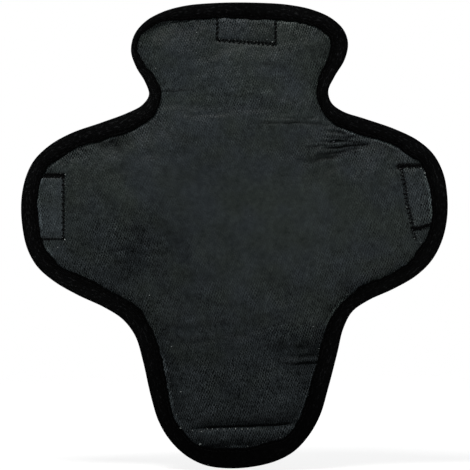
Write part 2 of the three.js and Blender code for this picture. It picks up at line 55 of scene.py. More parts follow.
# ------------------------------------------------------------------ sizes
GRID_X, GRID_Z = (-176, 176), (-5, 378)         # area covered by the face grids
SLACK_X, SLACK_Z, SLACK_STEP = (-172, 172), (-2, 374), 3.2
COVER_INSET, COVER_THICKNESS = 3.2, 0.9
FRONT_EDGE, FRONT_BULGE = 2.0, 6.9              # height at the rim and added in the middle
BACK_EDGE, BACK_BULGE = 2.2, 4.7
WEB_WIDTH, WEB_THICKNESS, WEB_STEP = 50, 2.0, 1.5
BINDING_PITCH = 3.8                             # stitch spacing round the rim

# the rim, anticlockwise seen from the front: X, Z
OUTLINE = np.array([
    [15.0, 371.8], [-15.5, 371.5], [-39.9, 369.2], [-57.7, 364.2], [-71.3, 356.5], [-79.8, 346.1],
    [-82.5, 333.1], [-78.4, 320.3], [-71.4, 308.6], [-68.2, 298.2], [-73.6, 290.1], [-85.6, 283.7],
    [-106.7, 275.9], [-129.8, 267.8], [-146.9, 258.3], [-159.6, 246.2], [-166.5, 232.3],
    [-170.0, 214.2], [-169.4, 194.6], [-165.3, 175.5], [-157.3, 161.1], [-144.1, 149.4],
    [-125.5, 138.6], [-103.3, 128.2], [-88.7, 118.6], [-79.0, 105.4], [-73.2, 86.7], [-66.7, 58.0],
    [-60.4, 37.5], [-51.3, 22.4], [-38.7, 10.3], [-23.9, 2.8], [-6.6, 0.1], [14.0, 1.2],
    [33.0, 5.8], [47.5, 13.5], [59.5, 26.3], [68.5, 42.4], [75.2, 64.9], [82.3, 92.4],
    [86.9, 111.3], [94.1, 125.0], [106.6, 133.9], [127.1, 143.3], [144.9, 153.6], [157.4, 165.8],
    [165.6, 181.3], [169.8, 199.4], [169.9, 219.0], [166.6, 236.2], [158.9, 250.8], [146.6, 261.8],
    [128.2, 270.9], [104.1, 279.2], [86.5, 285.1], [77.6, 291.9], [75.1, 301.4], [80.1, 312.7],
    [88.1, 326.2], [90.8, 339.2], [87.3, 350.0], [77.6, 359.3], [62.5, 366.1], [42.4, 370.2]])
# width of the binding tape on the struck face, at each point of the outline
TAPE_WIDTH = np.array([
    14.3, 12.4, 12.2, 7.9, 6.8, 4.8, 5.6, 7.1, 8.9, 9.5, 13.2, 14.8, 13.8, 12.5, 13.5, 12.6,
    12.4, 13.4, 14.4, 13.6, 14.0, 12.8, 15.8, 14.4, 15.6, 14.5, 15.4, 14.4, 12.8, 13.2, 12.4, 14.4,
    16.6, 16.0, 16.8, 14.0, 13.6, 14.6, 14.2, 14.1, 13.3, 11.0, 12.9, 11.6, 12.3, 13.8, 12.7, 12.1,
    13.4, 14.3, 12.9, 14.4, 12.4, 13.4, 12.2, 9.8, 9.0, 11.4, 13.4, 14.6, 13.6, 13.1, 12.2, 13.5])


# ------------------------------------------------------------------ curves and fields
def spline(p0, p1, p2, p3, w):
    """Centripetal Catmull-Rom from p1 to p2 at w in 0..1."""
    gap0, gap1, gap2 = (
        np.maximum(np.sqrt(np.linalg.norm(b - a, axis=-1, keepdims=True)), 1e-4)
        for a, b in ((p0, p1), (p1, p2), (p2, p3)))
    t1 = ((p1 - p0) / gap0 - (p2 - p0) / (gap0 + gap1) + (p2 - p1) / gap1) * gap1
    t2 = ((p2 - p1) / gap1 - (p3 - p1) / (gap1 + gap2) + (p3 - p2) / gap2) * gap1
    square = -3 * p1 + 3 * p2 - 2 * t1 - t2
    cube = 2 * p1 - 2 * p2 + t1 + t2
    return p1 + t1 * w + square * w * w + cube * w ** 3


def run_lengths(points):
    """Length run so far at each point of a line."""
    return np.concatenate([[0], np.cumsum(np.linalg.norm(np.diff(points, axis=0), axis=1))])


def outline_at(t):
    """Points on the closed outline at parameters t, once round in 0..1."""
    count = len(OUTLINE)
    place = np.mod(t, 1.0) * count
    i = np.floor(place).astype(int) % count
    w = (place - np.floor(place))[:, None]
    return spline(*(OUTLINE[(i + k) % count] for k in (-1, 0, 1, 2)), w)


def rim_points(count):
    """Evenly spaced rim points, inward normals, tape width there and length so far."""
    t = np.arange(count * 4) / (count * 4)
    dense = outline_at(t)
    run = run_lengths(np.vstack([dense, dense[:1]]))
    along = np.arange(count) / count * run[-1]
    u = np.interp(along, run, np.concatenate([t, [1.0]]))
    tangent = outline_at(u + 1e-4) - outline_at(u - 1e-4)
    tangent /= np.linalg.norm(tangent, axis=1)[:, None]
    inward = np.stack([-tangent[:, 1], tangent[:, 0]], 1)
    place = u * len(TAPE_WIDTH)
    i = np.floor(place).astype(int) % len(TAPE_WIDTH)
    f = place - np.floor(place)
    f = f * f * (3 - 2 * f)
    tape = TAPE_WIDTH[i] * (1 - f) + TAPE_WIDTH[(i + 1) % len(TAPE_WIDTH)] * f
    return outline_at(u), inward, tape, along


RIM_POINT, RIM_INWARD, RIM_TAPE, RIM_ALONG = rim_points(2400)
RIM_LENGTH = RIM_ALONG[1] * len(RIM_ALONG)


def rim_field(x, z):
    """Distance inside the outline (negative outside), then the inward direction, tape width
    and length along the rim at the nearest rim point."""
    points = np.stack([x.ravel(), z.ravel()], 1)
    nearest = np.zeros(len(points), int)
    for start in range(0, len(points), 4000):       # in batches, to bound the memory
        part = points[start:start + 4000]
        square = ((part[:, :1] - RIM_POINT[None, :, 0]) ** 2
                  + (part[:, 1:] - RIM_POINT[None, :, 1]) ** 2)
        nearest[start:start + 4000] = square.argmin(1)
    away = points - RIM_POINT[nearest]
    distance = np.linalg.norm(away, axis=1)
    inset = np.where((away * RIM_INWARD[nearest]).sum(1) >= 0, distance, -distance)
    shape = x.shape
    return (inset.reshape(shape), RIM_INWARD[nearest].reshape(shape + (2,)),
            RIM_TAPE[nearest].reshape(shape), RIM_ALONG[nearest].reshape(shape))


def lattice_noise(seed):
    """Smooth noise in -1..1 with one cell per unit."""
    grid = np.random.RandomState(seed).rand(64, 64) * 2 - 1

    def noise(x, y):
        xi, yi = np.floor(x).astype(int), np.floor(y).astype(int)
        u, v = x - xi, y - yi
        u = u * u * u * (u * (u * 6 - 15) + 10)
        v = v * v * v * (v * (v * 6 - 15) + 10)
        a, b = grid[xi % 64, yi % 64], grid[(xi + 1) % 64, yi % 64]
        c, d = grid[xi % 64, (yi + 1) % 64], grid[(xi + 1) % 64, (yi + 1) % 64]
        return (a * (1 - u) + b * u) * (1 - v) + (c * (1 - u) + d * u) * v
    return noise


# called as NOISE[k](x / size + shift, z / size + shift), with the size of a lump in millimetres
NOISE = [lattice_noise(100 + k) for k in range(8)]


def smoothstep(start, end, x):
    t = np.clip((x - start) / (end - start), 0, 1)
    return t * t * (3 - 2 * t)


def stations(value, table):
    """Read a table of (place, amount) pairs at value."""
    return np.interp(value, *zip(*table))


def polyline_field(x, z, line):
    """Signed distance to a polyline (positive to its left) and position along it, 0..1."""
    points = np.array(line, float)
    segments = np.diff(points, axis=0)
    lengths = np.linalg.norm(segments, axis=1)
    total = lengths.sum()
    best = np.full(x.shape, 1e9)
    along = np.zeros(x.shape)
    side = np.ones(x.shape)
    start = 0.0
    for (px, pz), (sx, sz), length in zip(points[:-1], segments, lengths):
        t = np.clip(((x - px) * sx + (z - pz) * sz) / length ** 2, 0, 1)
        dx, dz = x - (px + t * sx), z - (pz + t * sz)
        distance = np.hypot(dx, dz)
        nearer = distance < best
        best = np.where(nearer, distance, best)
        along = np.where(nearer, (start + t * length) / total, along)
        side = np.where(nearer, np.sign(sx * dz - sz * dx), side)
        start += length
    return best * side, along


def gauss(x, z, centre_x, centre_z, radius_x, radius_z, turn=0.0):
    c, s = math.cos(turn), math.sin(turn)
    u = (x - centre_x) * c + (z - centre_z) * s
    v = -(x - centre_x) * s + (z - centre_z) * c
    return np.exp(-(u / radius_x) ** 2 - (v / radius_z) ** 2)


def add_spots(value, x, z, table):
    """Add soft spots: amount, centre X and Z, radius X and Z, and turn in radians if any."""
    for amount, *place in table:
        value = value + amount * gauss(x, z, *place)
    return value


def inside_quad(x, z, quad, soft):
    """1 inside a convex anticlockwise quad, fading over soft millimetres either side of it."""
    inside = np.ones(x.shape)
    for (ax, az), (bx, bz) in zip(quad, quad[1:] + quad[:1]):
        across = ((bx - ax) * (z - az) - (bz - az) * (x - ax)) / math.hypot(bx - ax, bz - az)
        inside = inside * smoothstep(-soft, soft, across)
    return inside


# ------------------------------------------------------------------ meshes
def new_mesh(name, verts, faces):
    """A smooth-shaded object from vertices in millimetres about the rim plane."""
    placed = (np.asarray(verts, float) + (0, SET_BACK, 0)) * MM
    mesh = bpy.data.meshes.new(name)
    mesh.from_pydata([tuple(v) for v in placed], [], [tuple(int(i) for i in f) for f in faces])
    mesh.update()
    mesh.polygons.foreach_set("use_smooth", np.ones(len(mesh.polygons), bool))
    ob = bpy.data.objects.new(name, mesh)
    bpy.context.scene.collection.objects.link(ob)
    return ob


def new_solid(name, verts, faces):
    """A closed mesh, turned so that its faces look outwards."""
    ob = new_mesh(name, verts, faces)
    mesh = ob.data
    points = np.zeros(len(mesh.vertices) * 3)
    mesh.vertices.foreach_get("co", points)
    mesh.calc_loop_triangles()
    corners = np.zeros(len(mesh.loop_triangles) * 3, int)
    mesh.loop_triangles.foreach_get("vertices", corners)
    a, b, c = points.reshape(-1, 3)[corners.reshape(-1, 3).T]
    if (a * np.cross(b, c)).sum() < 0:
        mesh.flip_normals()
    return ob


def point_attribute(ob, name, values):
    attribute = ob.data.attributes.new(name, "FLOAT", "POINT")
    attribute.data.foreach_set("value", np.asarray(values, np.float32).ravel())


def vertex_uv(ob, uv):
    """One uv per vertex, in millimetres."""
    layer = ob.data.uv_layers.new(name="weave")
    loops = np.zeros(len(ob.data.loops), int)
    ob.data.loops.foreach_get("vertex_index", loops)
    layer.data.foreach_set("uv", (np.asarray(uv, np.float32)[loops]).ravel())


def tube_faces(rings, sides, start=0, closed=False):
    """Quads joining successive rings of vertices."""
    faces = []
    for k in range(rings if closed else rings - 1):
        here, there = start + k * sides, start + (k + 1) % rings * sides
        for i in range(sides):
            j = (i + 1) % sides
            faces.append((here + i, here + j, there + j, there + i))
    return faces


def end_caps(rings, sides, start=0):
    last = start + (rings - 1) * sides
    return [tuple(range(start, start + sides))[::-1], tuple(range(last, last + sides))]


def grid_faces(ok, sign):
    """Whole cells of a masked grid: cells touching each point, and quads looking along sign * Y."""
    cell = ok[:-1, :-1] & ok[1:, :-1] & ok[1:, 1:] & ok[:-1, 1:]
    count = np.zeros(ok.shape, int)
    for a, b in ((0, 0), (1, 0), (1, 1), (0, 1)):
        count[a:a + cell.shape[0], b:b + cell.shape[1]] += cell
    used = count > 0
    ids = np.full(ok.shape, -1)
    ids[used] = np.arange(used.sum())
    i, j = np.nonzero(cell)
    quads = np.stack([ids[i, j], ids[i + 1, j], ids[i + 1, j + 1], ids[i, j + 1]], 1)
    return count, quads[:, ::-1] if sign > 0 else quads


def closed_sheet(name, x, z, outer, inner, quads):
    """A solid between two sheets given by their Y, closed round its border."""
    count = len(x)
    verts = np.concatenate([np.stack([x, outer, z], 1), np.stack([x, inner, z], 1)])
    edges = {(int(p), int(q)) for k in range(4) for p, q in quads[:, [k, (k + 1) % 4]]}
    border = [(q, p, p + count, q + count) for p, q in edges if (q, p) not in edges]
    return new_mesh(name, verts, quads.tolist() + (quads[:, ::-1] + count).tolist() + border)


# ------------------------------------------------------------------ sewn lines and folds
# sewn lines on the struck face: X, Z
TOP_LEFT = [(-13.5, 360.5), (-13.5, 341.6)]
TOP_BOTTOM = [(-13.5, 341.6), (32.6, 338.3)]
TOP_RIGHT = [(32.6, 338.3), (32.6, 360)]
LEFT_TOP = [(-160.5, 233.6), (-135.9, 233.6)]
LEFT_INNER = [(-135.9, 233.6), (-135.9, 183.1)]
LEFT_BOTTOM = [(-135.9, 183.1), (-159.5, 183.1)]
RIGHT_TOP = [(129.5, 240.6), (136, 241.2), (152.5, 240.9)]
RIGHT_INNER = [(133.2, 240.3), (136.2, 226.0), (137.6, 214.0), (141.2, 199.5), (142.6, 191.9),
               (144.8, 183.0)]
RIGHT_BOTTOM = [(141.8, 191.0), (148.0, 191.4), (159.6, 195.4)]
LOWER_SEAM = [(-38.0, 31.2), (-23.0, 32.4), (0.0, 33.4), (22.0, 34.2), (37.8, 34.8), (50.0, 36.2)]

# line, depth and half-width of its groove, darkness and half-width of its shade
BOX_SEAMS = (
    (TOP_LEFT, 0.75, 1.1, 0.05, 0.8), (TOP_BOTTOM, 1.5, 1.7, 0.30, 1.6),
    (TOP_RIGHT, 0.75, 1.1, 0.05, 0.8), (LEFT_TOP, 1.7, 1.8, 0.80, 1.7),
    (LEFT_INNER, 0.9, 1.2, 0.40, 0.9), (LEFT_BOTTOM, 1.0, 1.1, 0.45, 1.2),
    (RIGHT_TOP, 1.7, 1.9, 0.65, 1.7), (RIGHT_INNER, 1.1, 1.5, 0.35, 1.5),
    (RIGHT_BOTTOM, 1.5, 1.5, 0.75, 1.5))
# lines where the back cover is held, round each strap anchor and along the lower seam
BACK_SEAMS = ([(-152, 184), (-136, 184), (-136, 235), (-152, 235)],
              [(152, 190), (137, 190), (137, 242), (152, 242)],
              [(-15, 357), (-15, 340), (34, 340), (34, 357)], LOWER_SEAM)

# areas raised inside the sewn boxes of the front, anticlockwise
QUAD_TOP = [(-13.5, 341.6), (32.6, 338.3), (32.6, 366), (-13.5, 366)]
QUAD_LEFT = [(-166, 183.1), (-135.9, 183.1), (-135.9, 233.6), (-166, 233.6)]
QUAD_RIGHT = [(142.4, 191.4), (164, 196.0), (164, 241.0), (133.2, 240.6)]

# creases of the struck face: points, depth, width, ridge height as a share of depth, darkness of the
# painted shade in the fold
FRONT_CREASES = (
    # a fan of crisp folds right of the neck
    ([(70, 254.6), (77.0, 255.5), (83.4, 255.9), (89.8, 257.1), (96.2, 257.9), (108.5, 259.1)],
     2.4, 1.30, 0.9, 1.0),
    ([(66, 260.2), (77.0, 260.6), (83.4, 261.1), (89.8, 260.7), (104, 259.8)], 1.7, 1.05, 1.0, 0.88),
    ([(64, 249.4), (72, 250.6), (80, 251.8), (89.8, 253.6), (96.2, 255.1), (103, 256.7)],
     1.4, 1.35, 0.8, 0.80),
    ([(72, 264.2), (83.4, 263.6), (89.8, 263.6), (99, 265.2)], 1.2, 0.95, 1.0, 0.78),
    ([(72, 269.6), (83.4, 268.3), (92, 265.6)], 1.0, 0.95, 0.9, 0.75),
    ([(56, 256.0), (68, 257.2), (84, 258.6)], 0.8, 0.8, 0.9, 0.50),
    ([(57, 243.6), (66, 246.6), (78, 248.4), (88, 251.2)], 1.0, 1.7, 0.6, 0.60),
    # neck and upper lobe
    ([(18, 275.4), (34, 275.0), (50, 275.9), (66, 275.2), (80, 271.0)], 1.1, 1.1, 0.7, 0.38),
    ([(40, 279.6), (54, 278.8), (66, 279.8)], 0.6, 1.0, 0.7, 0.35),
    ([(-64, 300.0), (-50, 300.9), (-30, 301.8)], 0.9, 0.9, 0.8, 0.45),
    ([(-66, 289.5), (-50, 291.4), (-24, 289.0), (4, 291.0)], 0.40, 1.8, 0.5, 0.12),
    ([(-4, 311.4), (20, 311.0), (44, 311.8), (66, 310.4)], 0.40, 1.1, 0.9, 0.15),
    ([(-24, 322.0), (-6, 320.6), (16, 321.4), (40, 322.4)], 0.32, 1.4, 0.6, 0.12),
    ([(-30, 296.0), (-6, 297.4), (22, 294.8), (54, 296.2)], 0.36, 1.5, 0.6, 0.15),
    ([(-52, 283.0), (-30, 281.0), (-4, 284.0)], 0.35, 1.8, 0.5, 0.15),
    ([(8, 265.5), (30, 263.0), (54, 266.0)], 0.30, 2.0, 0.5, 0.10),
    ([(52, 231.0), (70, 236.5), (88, 243.5), (110, 248.0)], 0.45, 3.4, 0.5, 0.16),
    ([(-96, 236.0), (-78, 247.0), (-56, 253.0), (-30, 252.0)], 0.40, 4.0, 0.5, 0.12),
    ([(-112, 226.0), (-96, 237.0), (-70, 240.0)], 0.35, 3.4, 0.5, 0.12),
    # lower lobe
    ([(34, 84.6), (46, 84.0), (58, 85.0), (70, 84.8)], 1.9, 1.2, 0.9, 0.85),
    ([(40, 90.6), (52, 90.0), (66, 91.6)], 1.1, 1.4, 0.8, 0.55),
    ([(30, 98.0), (44, 96.4), (60, 99.0)], 0.6, 1.7, 0.6, 0.30),
    ([(-52, 103.6), (-36, 101.4), (-16, 102.4), (0, 101.4)], 0.8, 2.0, 0.5, 0.25),
    ([(-62, 114.0), (-40, 112.6), (-14, 115.0), (14, 113.4)], 0.8, 2.4, 0.5, 0.25),
    ([(-20, 106.5), (0, 107.5), (22, 105.2)], 0.55, 1.8, 0.5, 0.20),
    ([(-36, 134.0), (-18, 130.0), (4, 131.0), (16, 126.0)], 0.6, 2.6, 0.5, 0.20),
    ([(-16, 97.0), (4, 95.6), (26, 97.6)], 0.45, 1.7, 0.5, 0.18),
    # wings
    ([(-116, 225), (-100, 214), (-86, 204)], 0.5, 3.0, 0.3, 0.25),
    ([(-104, 172), (-88, 176), (-70, 171), (-50, 174)], 0.6, 1.9, 0.5, 0.35),
    ([(-108, 190), (-92, 188), (-74, 193)], 0.5, 1.9, 0.5, 0.30),
    ([(-100, 164), (-80, 166), (-58, 161)], 0.55, 1.8, 0.5, 0.35),
    ([(84, 133), (98, 143), (116, 152)], 0.6, 2.2, 0.4, 0.15),
    ([(-66, 158), (-60, 148), (-52, 140)], 0.5, 2.6, 0.3, 0.20),
    ([(-38, 200), (-35, 180), (-40, 160)], 0.45, 2.8, 0.4, 0.15),
    ([(-96, 263.4), (-99, 259.0)], 1.4, 1.8, 0.2, 0.85))

# tension creases on the strap side, same columns
BACK_CREASES = (
    ([(-132, 238), (-112, 247), (-88, 250)], 0.8, 2.0, 0.7, 0),
    ([(-132, 233), (-110, 237), (-84, 236)], 0.6, 2.2, 0.7, 0),
    ([(-132, 184), (-112, 173), (-86, 168)], 0.8, 2.0, 0.7, 0),
    ([(-131, 190), (-108, 184), (-82, 184)], 0.6, 2.4, 0.6, 0),
    ([(131, 243), (112, 252), (88, 254)], 0.8, 2.0, 0.7, 0),
    ([(130, 236), (108, 240), (80, 238)], 0.6, 2.3, 0.7, 0),
    ([(131, 190), (112, 179), (86, 173)], 0.8, 2.0, 0.7, 0),
    ([(130, 197), (106, 191), (82, 192)], 0.5, 2.4, 0.6, 0),
    ([(-19, 336), (-30, 320), (-48, 309)], 0.8, 1.8, 0.7, 0),
    ([(38, 336), (50, 320), (64, 311)], 0.8, 1.8, 0.7, 0),
    ([(-21, 345), (-40, 338), (-56, 336)], 0.5, 1.9, 0.7, 0),
    ([(40, 345), (56, 338), (70, 336)], 0.5, 1.9, 0.7, 0),
    ([(-60, 292), (-30, 287), (8, 289), (44, 286), (66, 290)], 0.6, 2.2, 0.6, 0),
    ([(-64, 280), (-34, 277), (-6, 279)], 0.5, 2.2, 0.6, 0),
    ([(-56, 104), (-30, 99), (2, 102), (34, 98), (62, 103)], 0.7, 2.2, 0.6, 0),
    ([(-50, 90), (-22, 87), (10, 89)], 0.5, 2.0, 0.6, 0),
    ([(60, 88), (36, 84), (12, 86)], 0.5, 2.0, 0.6, 0),
    ([(-62, 122), (-36, 116), (-8, 119)], 0.5, 2.4, 0.6, 0),
    ([(-46, 62), (-20, 60), (6, 61), (36, 59)], 0.4, 2.2, 0.6, 0),
    ([(-96, 150), (-76, 146), (-60, 136)], 0.6, 2.4, 0.5, 0),
    ([(98, 152), (80, 146), (68, 136)], 0.6, 2.4, 0.5, 0))


def creases(x, z, folds):
    """Summed depth of the valleys, height of the ridges beside them, and darkness of the painted
    shade in the folds.
    """
    valley, ridge, shade = np.zeros(x.shape), np.zeros(x.shape), np.zeros(x.shape)
    wobble = 0.45 * NOISE[6](x / 7.0, z / 7.0) + 0.22 * NOISE[5](x / 2.8, z / 2.8)
    for line, depth, width, ridge_share, dark in folds:
        across, along = polyline_field(x, z, line)
        across = across + wobble * min(1.0, width / 1.5)
        # strongest midway, dying out at both ends
        run = (np.sin(np.pi * np.clip(along, 0.0, 1.0)) ** 0.6
               * (0.80 + 0.35 * NOISE[2](x / 9.0, z / 9.0)))
        valley += depth * run * np.exp(-(across / width) ** 2)
        beside = np.exp(-((across - 2.0 * width) / (1.2 * width)) ** 2)
        ridge += depth * run * ridge_share * beside
        core = np.exp(-((across + 0.15 * width) / (1.05 * width)) ** 2)
        shade = np.maximum(shade, dark * np.minimum(1, 1.35 * run) * core)
    return valley, ridge, shade


def crown(inset):
    """Rounding of the pad: 0 near the rim, 1 in the middle."""
    return 1 - np.exp(-(np.maximum(inset - 11.0, 0) / 21.0) ** 1.15)


# ------------------------------------------------------------------ slack of the covers
def blur_grid(grid, mask, sigma):
    """Gaussian blur over sigma cells, counting only the masked cells."""
    reach = int(3 * sigma)
    kernel = np.exp(-np.arange(-reach, reach + 1) ** 2 / (2 * sigma ** 2))
    total, weight = grid * mask, mask.astype(float)
    for axis in (0, 1):
        total = np.apply_along_axis(lambda v: np.convolve(v, kernel, "same"), axis, total)
        weight = np.apply_along_axis(lambda v: np.convolve(v, kernel, "same"), axis, weight)
    return np.where(mask, total / np.maximum(weight, 1e-9), 0)


def let_out(sheet, pinned, grow, pressure, frames):
    """Run the cloth simulation on a pinned sheet and return its vertices in metres."""
    group = sheet.vertex_groups.new(name="pin")
    group.add([int(k) for k in np.nonzero(pinned)[0]], 1.0, "REPLACE")
    modifier = sheet.modifiers.new("cloth", "CLOTH")
    settings = dict(
        quality=7, mass=0.12, air_damping=2.0, tension_stiffness=18, compression_stiffness=18,
        shear_stiffness=6, bending_stiffness=0.04, vertex_group_mass="pin", shrink_min=-grow,
        use_pressure=True, uniform_pressure_force=pressure)
    for key, value in settings.items():
        setattr(modifier.settings, key, value)
    modifier.settings.effector_weights.gravity = 0
    modifier.point_cache.frame_start, modifier.point_cache.frame_end = 1, frames
    for number in range(1, frames + 1):
        bpy.context.scene.frame_set(number)
    shaped = sheet.evaluated_get(bpy.context.evaluated_depsgraph_get())
    points = np.zeros(len(shaped.data.vertices) * 3)
    shaped.data.vertices.foreach_get("co", points)
    return points.reshape(-1, 3)


def cloth_slack(name, sign, lines, seed, grow, limit):
    """Gathers of a cover a little larger than its pad, as a grid of heights.

    A sheet pinned under the tape and along its sewn lines is let out by simulation. Its overall
    billow is taken off and what is left is kept within the limit."""
    xs = np.arange(SLACK_X[0], SLACK_X[1] + SLACK_STEP, SLACK_STEP)
    zs = np.arange(SLACK_Z[0], SLACK_Z[1] + SLACK_STEP, SLACK_STEP)
    grid_x, grid_z = np.meshgrid(xs, zs, indexing="ij")
    slack = np.zeros(grid_x.shape)
    insets, _, tapes, _ = rim_field(grid_x, grid_z)
    count, quads = grid_faces(insets > 6, sign)
    used = count > 0
    x, z, inset, tape = grid_x[used], grid_z[used], insets[used], tapes[used]
    unevenness = np.random.RandomState(seed).uniform(-0.12, 0.12, len(x))
    rest = sign * (FRONT_EDGE + FRONT_BULGE * crown(inset)) + unevenness
    sheet = new_mesh(name, np.stack([x, rest, z], 1), quads.tolist())
    pinned = inset < tape + 1.0
    for line in lines:
        pinned |= np.abs(polyline_field(x, z, line)[0]) < 1.9
    points = let_out(sheet, pinned, grow, pressure=3.0, frames=20)
    moved = sign * (points[:, 1] / MM - SET_BACK - rest)
    mesh = sheet.data
    bpy.data.objects.remove(sheet, do_unlink=True)
    bpy.data.meshes.remove(mesh)
    bpy.context.scene.frame_set(1)
    slack[used] = np.nan_to_num(moved)
    wrinkle = slack - blur_grid(slack, used, 15.0 / SLACK_STEP)
    wrinkle = blur_grid(wrinkle, used, 0.55)
    return xs, zs, limit * np.tanh(wrinkle / limit)


def read_grid(field, x, z):
    xs, zs, grid = field
    u = np.clip((x - xs[0]) / (xs[1] - xs[0]), 0, len(xs) - 1.001)
    v = np.clip((z - zs[0]) / (zs[1] - zs[0]), 0, len(zs) - 1.001)
    i, j = np.floor(u).astype(int), np.floor(v).astype(int)
    a, b = u - i, v - j
    a, b = a * a * (3 - 2 * a), b * b * (3 - 2 * b)
    return ((grid[i, j] * (1 - a) + grid[i + 1, j] * a) * (1 - b)
            + (grid[i, j + 1] * (1 - a) + grid[i + 1, j + 1] * a) * b)


FRONT_SLACK = cloth_slack("front_slack_sheet", -1, [row[0] for row in BOX_SEAMS] + [LOWER_SEAM],
                          seed=5, grow=0.020, limit=0.8)
BACK_SLACK = cloth_slack("back_slack_sheet", 1, BACK_SEAMS, seed=9, grow=0.022, limit=1.0)


# ------------------------------------------------------------------ relief of the pad
def lower_seam(x, z):
    """Distance above the lower seam, and its strength, fading at both ends."""
    across, along = polyline_field(x, z, LOWER_SEAM)
    return across, smoothstep(0.0, 0.10, along) * (1 - 0.75 * smoothstep(0.86, 1.0, along))


HOLLOWS = ((-0.9, -68, 182, 34, 24, 0.5), (-0.8, 54, 103, 19, 9, 0.1), (-0.35, 96, 174, 22, 14, 0.2))


def front_relief(x, z, inset, tape, along):
    """How far the struck face stands out from the rim plane."""
    height = FRONT_EDGE + FRONT_BULGE * crown(inset) + read_grid(FRONT_SLACK, x, z)
    # unevenness of the stuffing, from slow to fine
    height += 0.30 * NOISE[0](x / 46 + 3, z / 46 + 7) * smoothstep(14, 50, inset)
    height += 0.13 * NOISE[1](x / 17 + 9, z / 19 + 2) * smoothstep(14, 34, inset)
    height += 0.045 * NOISE[2](x / 6.3, z / 6.8)
    # gathers where the cloth goes under the binding
    free = np.maximum(inset - tape, 0)
    gather = NOISE[3](along / 4.6, inset / 26) + 0.6 * NOISE[4](along / 2.3 + 5, inset / 20)
    height += 0.34 * gather * np.exp(-free / 5.5)
    height -= 0.55 * np.exp(-free / 1.6)
    for quad, lift in ((QUAD_TOP, 0.75), (QUAD_LEFT, 0.8), (QUAD_RIGHT, 0.75)):
        height += lift * inside_quad(x, z, quad, 1.1)
    # stitched lines pull the cloth in
    for line, depth, width, _, _ in BOX_SEAMS:
        across = polyline_field(x, z, line)[0] + 0.35 * NOISE[5](x / 3.1, z / 3.1)
        height -= depth * np.exp(-(across / width) ** 2)
    # the lower seam: a groove, a slope above it and a roll below it
    across, strength = lower_seam(x, z)
    above, below = np.where(across > 0, across, 0), np.where(across <= 0, -across, 0)
    height -= strength * 2.6 * np.exp(-(np.abs(across) / 1.5) ** 1.3)
    height -= strength * 1.5 * np.exp(-(above / 6.5) ** 1.6) * (across > 0)
    height += strength * 1.3 * np.exp(-((below - 5.0) / 4.2) ** 2) * (across <= 0)
    valley, ridge, _ = creases(x, z, FRONT_CREASES)
    height += ridge - valley
    return add_spots(height, x, z, HOLLOWS)


# areas pulled in round the sewn anchors: depth, corners
ANCHOR_DIPS = ((0.55, [(-158, 182), (-133, 182), (-133, 236), (-158, 236)]),
               (0.55, [(131, 189), (158, 191), (158, 243), (131, 241)]),
               (0.5, [(-17, 337), (36, 337), (36, 362), (-17, 362)]))


def back_relief(x, z, inset, tape, along):
    """How far the strap side stands out from the rim plane."""
    height = BACK_EDGE + BACK_BULGE * crown(inset) + read_grid(BACK_SLACK, x, z)
    height += 0.22 * NOISE[1](x / 52 + 1, z / 52 + 4) * smoothstep(14, 50, inset)
    height += 0.10 * NOISE[0](x / 18 + 5, z / 18 + 8) * smoothstep(14, 34, inset)
    # gathers where the cloth goes under the binding
    free = np.maximum(inset - tape, 0)
    gather = NOISE[4](along / 4.9 + 11, inset / 24) + 0.5 * NOISE[3](along / 2.4, inset / 20)
    height += 0.26 * gather * np.exp(-free / 5.0)
    height -= 0.5 * np.exp(-free / 1.6)
    valley, ridge, _ = creases(x, z, BACK_CREASES)
    height += 1.3 * (ridge - valley)
    for depth, quad in ANCHOR_DIPS:
        height -= depth * inside_quad(x, z, quad, 2.2)
    across, strength = lower_seam(x, z)
    height -= strength * 1.5 * np.exp(-(np.abs(across) / 1.8) ** 1.4)
    return height


# ------------------------------------------------------------------ brightness of the covers
# bare lining lit beside the tape: X, Z, reach, strength
SLIVERS = (
    (156.0, 231.0, 8, 0.6), (158.5, 212.0, 13, 1.2), (160.0, 199.0, 7, 1.3), (88.5, 268.6, 7, 0.5),
    (95.5, 264.6, 6, 1.0), (116.5, 260.0, 9, 1.0), (126.0, 256.0, 6, 0.8), (135.0, 244.5, 5, 0.8),
    (38.0, 357.2, 11, 1.2), (-20.0, 358.0, 16, 0.2), (-155.8, 230.0, 6, 0.9),
    (-157.8, 206.0, 8, 1.4), (-157.0, 196.0, 6, 1.2), (-151.0, 172.0, 6, 1.0),
    (84.5, 126.0, 9, 1.0), (-53.0, 62.0, 15, 0.75), (-47.0, 42.0, 8, 0.6), (-57.0, 82.0, 9, 0.5),
    (58.0, 60.0, 18, 0.35))
# painted shade and light by height, darker towards the bottom and lighter at the neck as for light
# from above: Z, tone
FRONT_SHADE_BY_HEIGHT = ((0, 0.22), (16, 0.32), (26, 0.60), (33, 0.64), (38, 0.56), (58, 0.64), (70, 0.60),
              (110, 0.68), (150, 0.90), (205, 1.0), (266, 0.99), (286, 1.00), (300, 1.20),
              (318, 1.16), (335, 1.04), (372, 1.02))
TOP_BOX_TONE = ((340, -0.20), (349, -0.10), (356, -0.04))
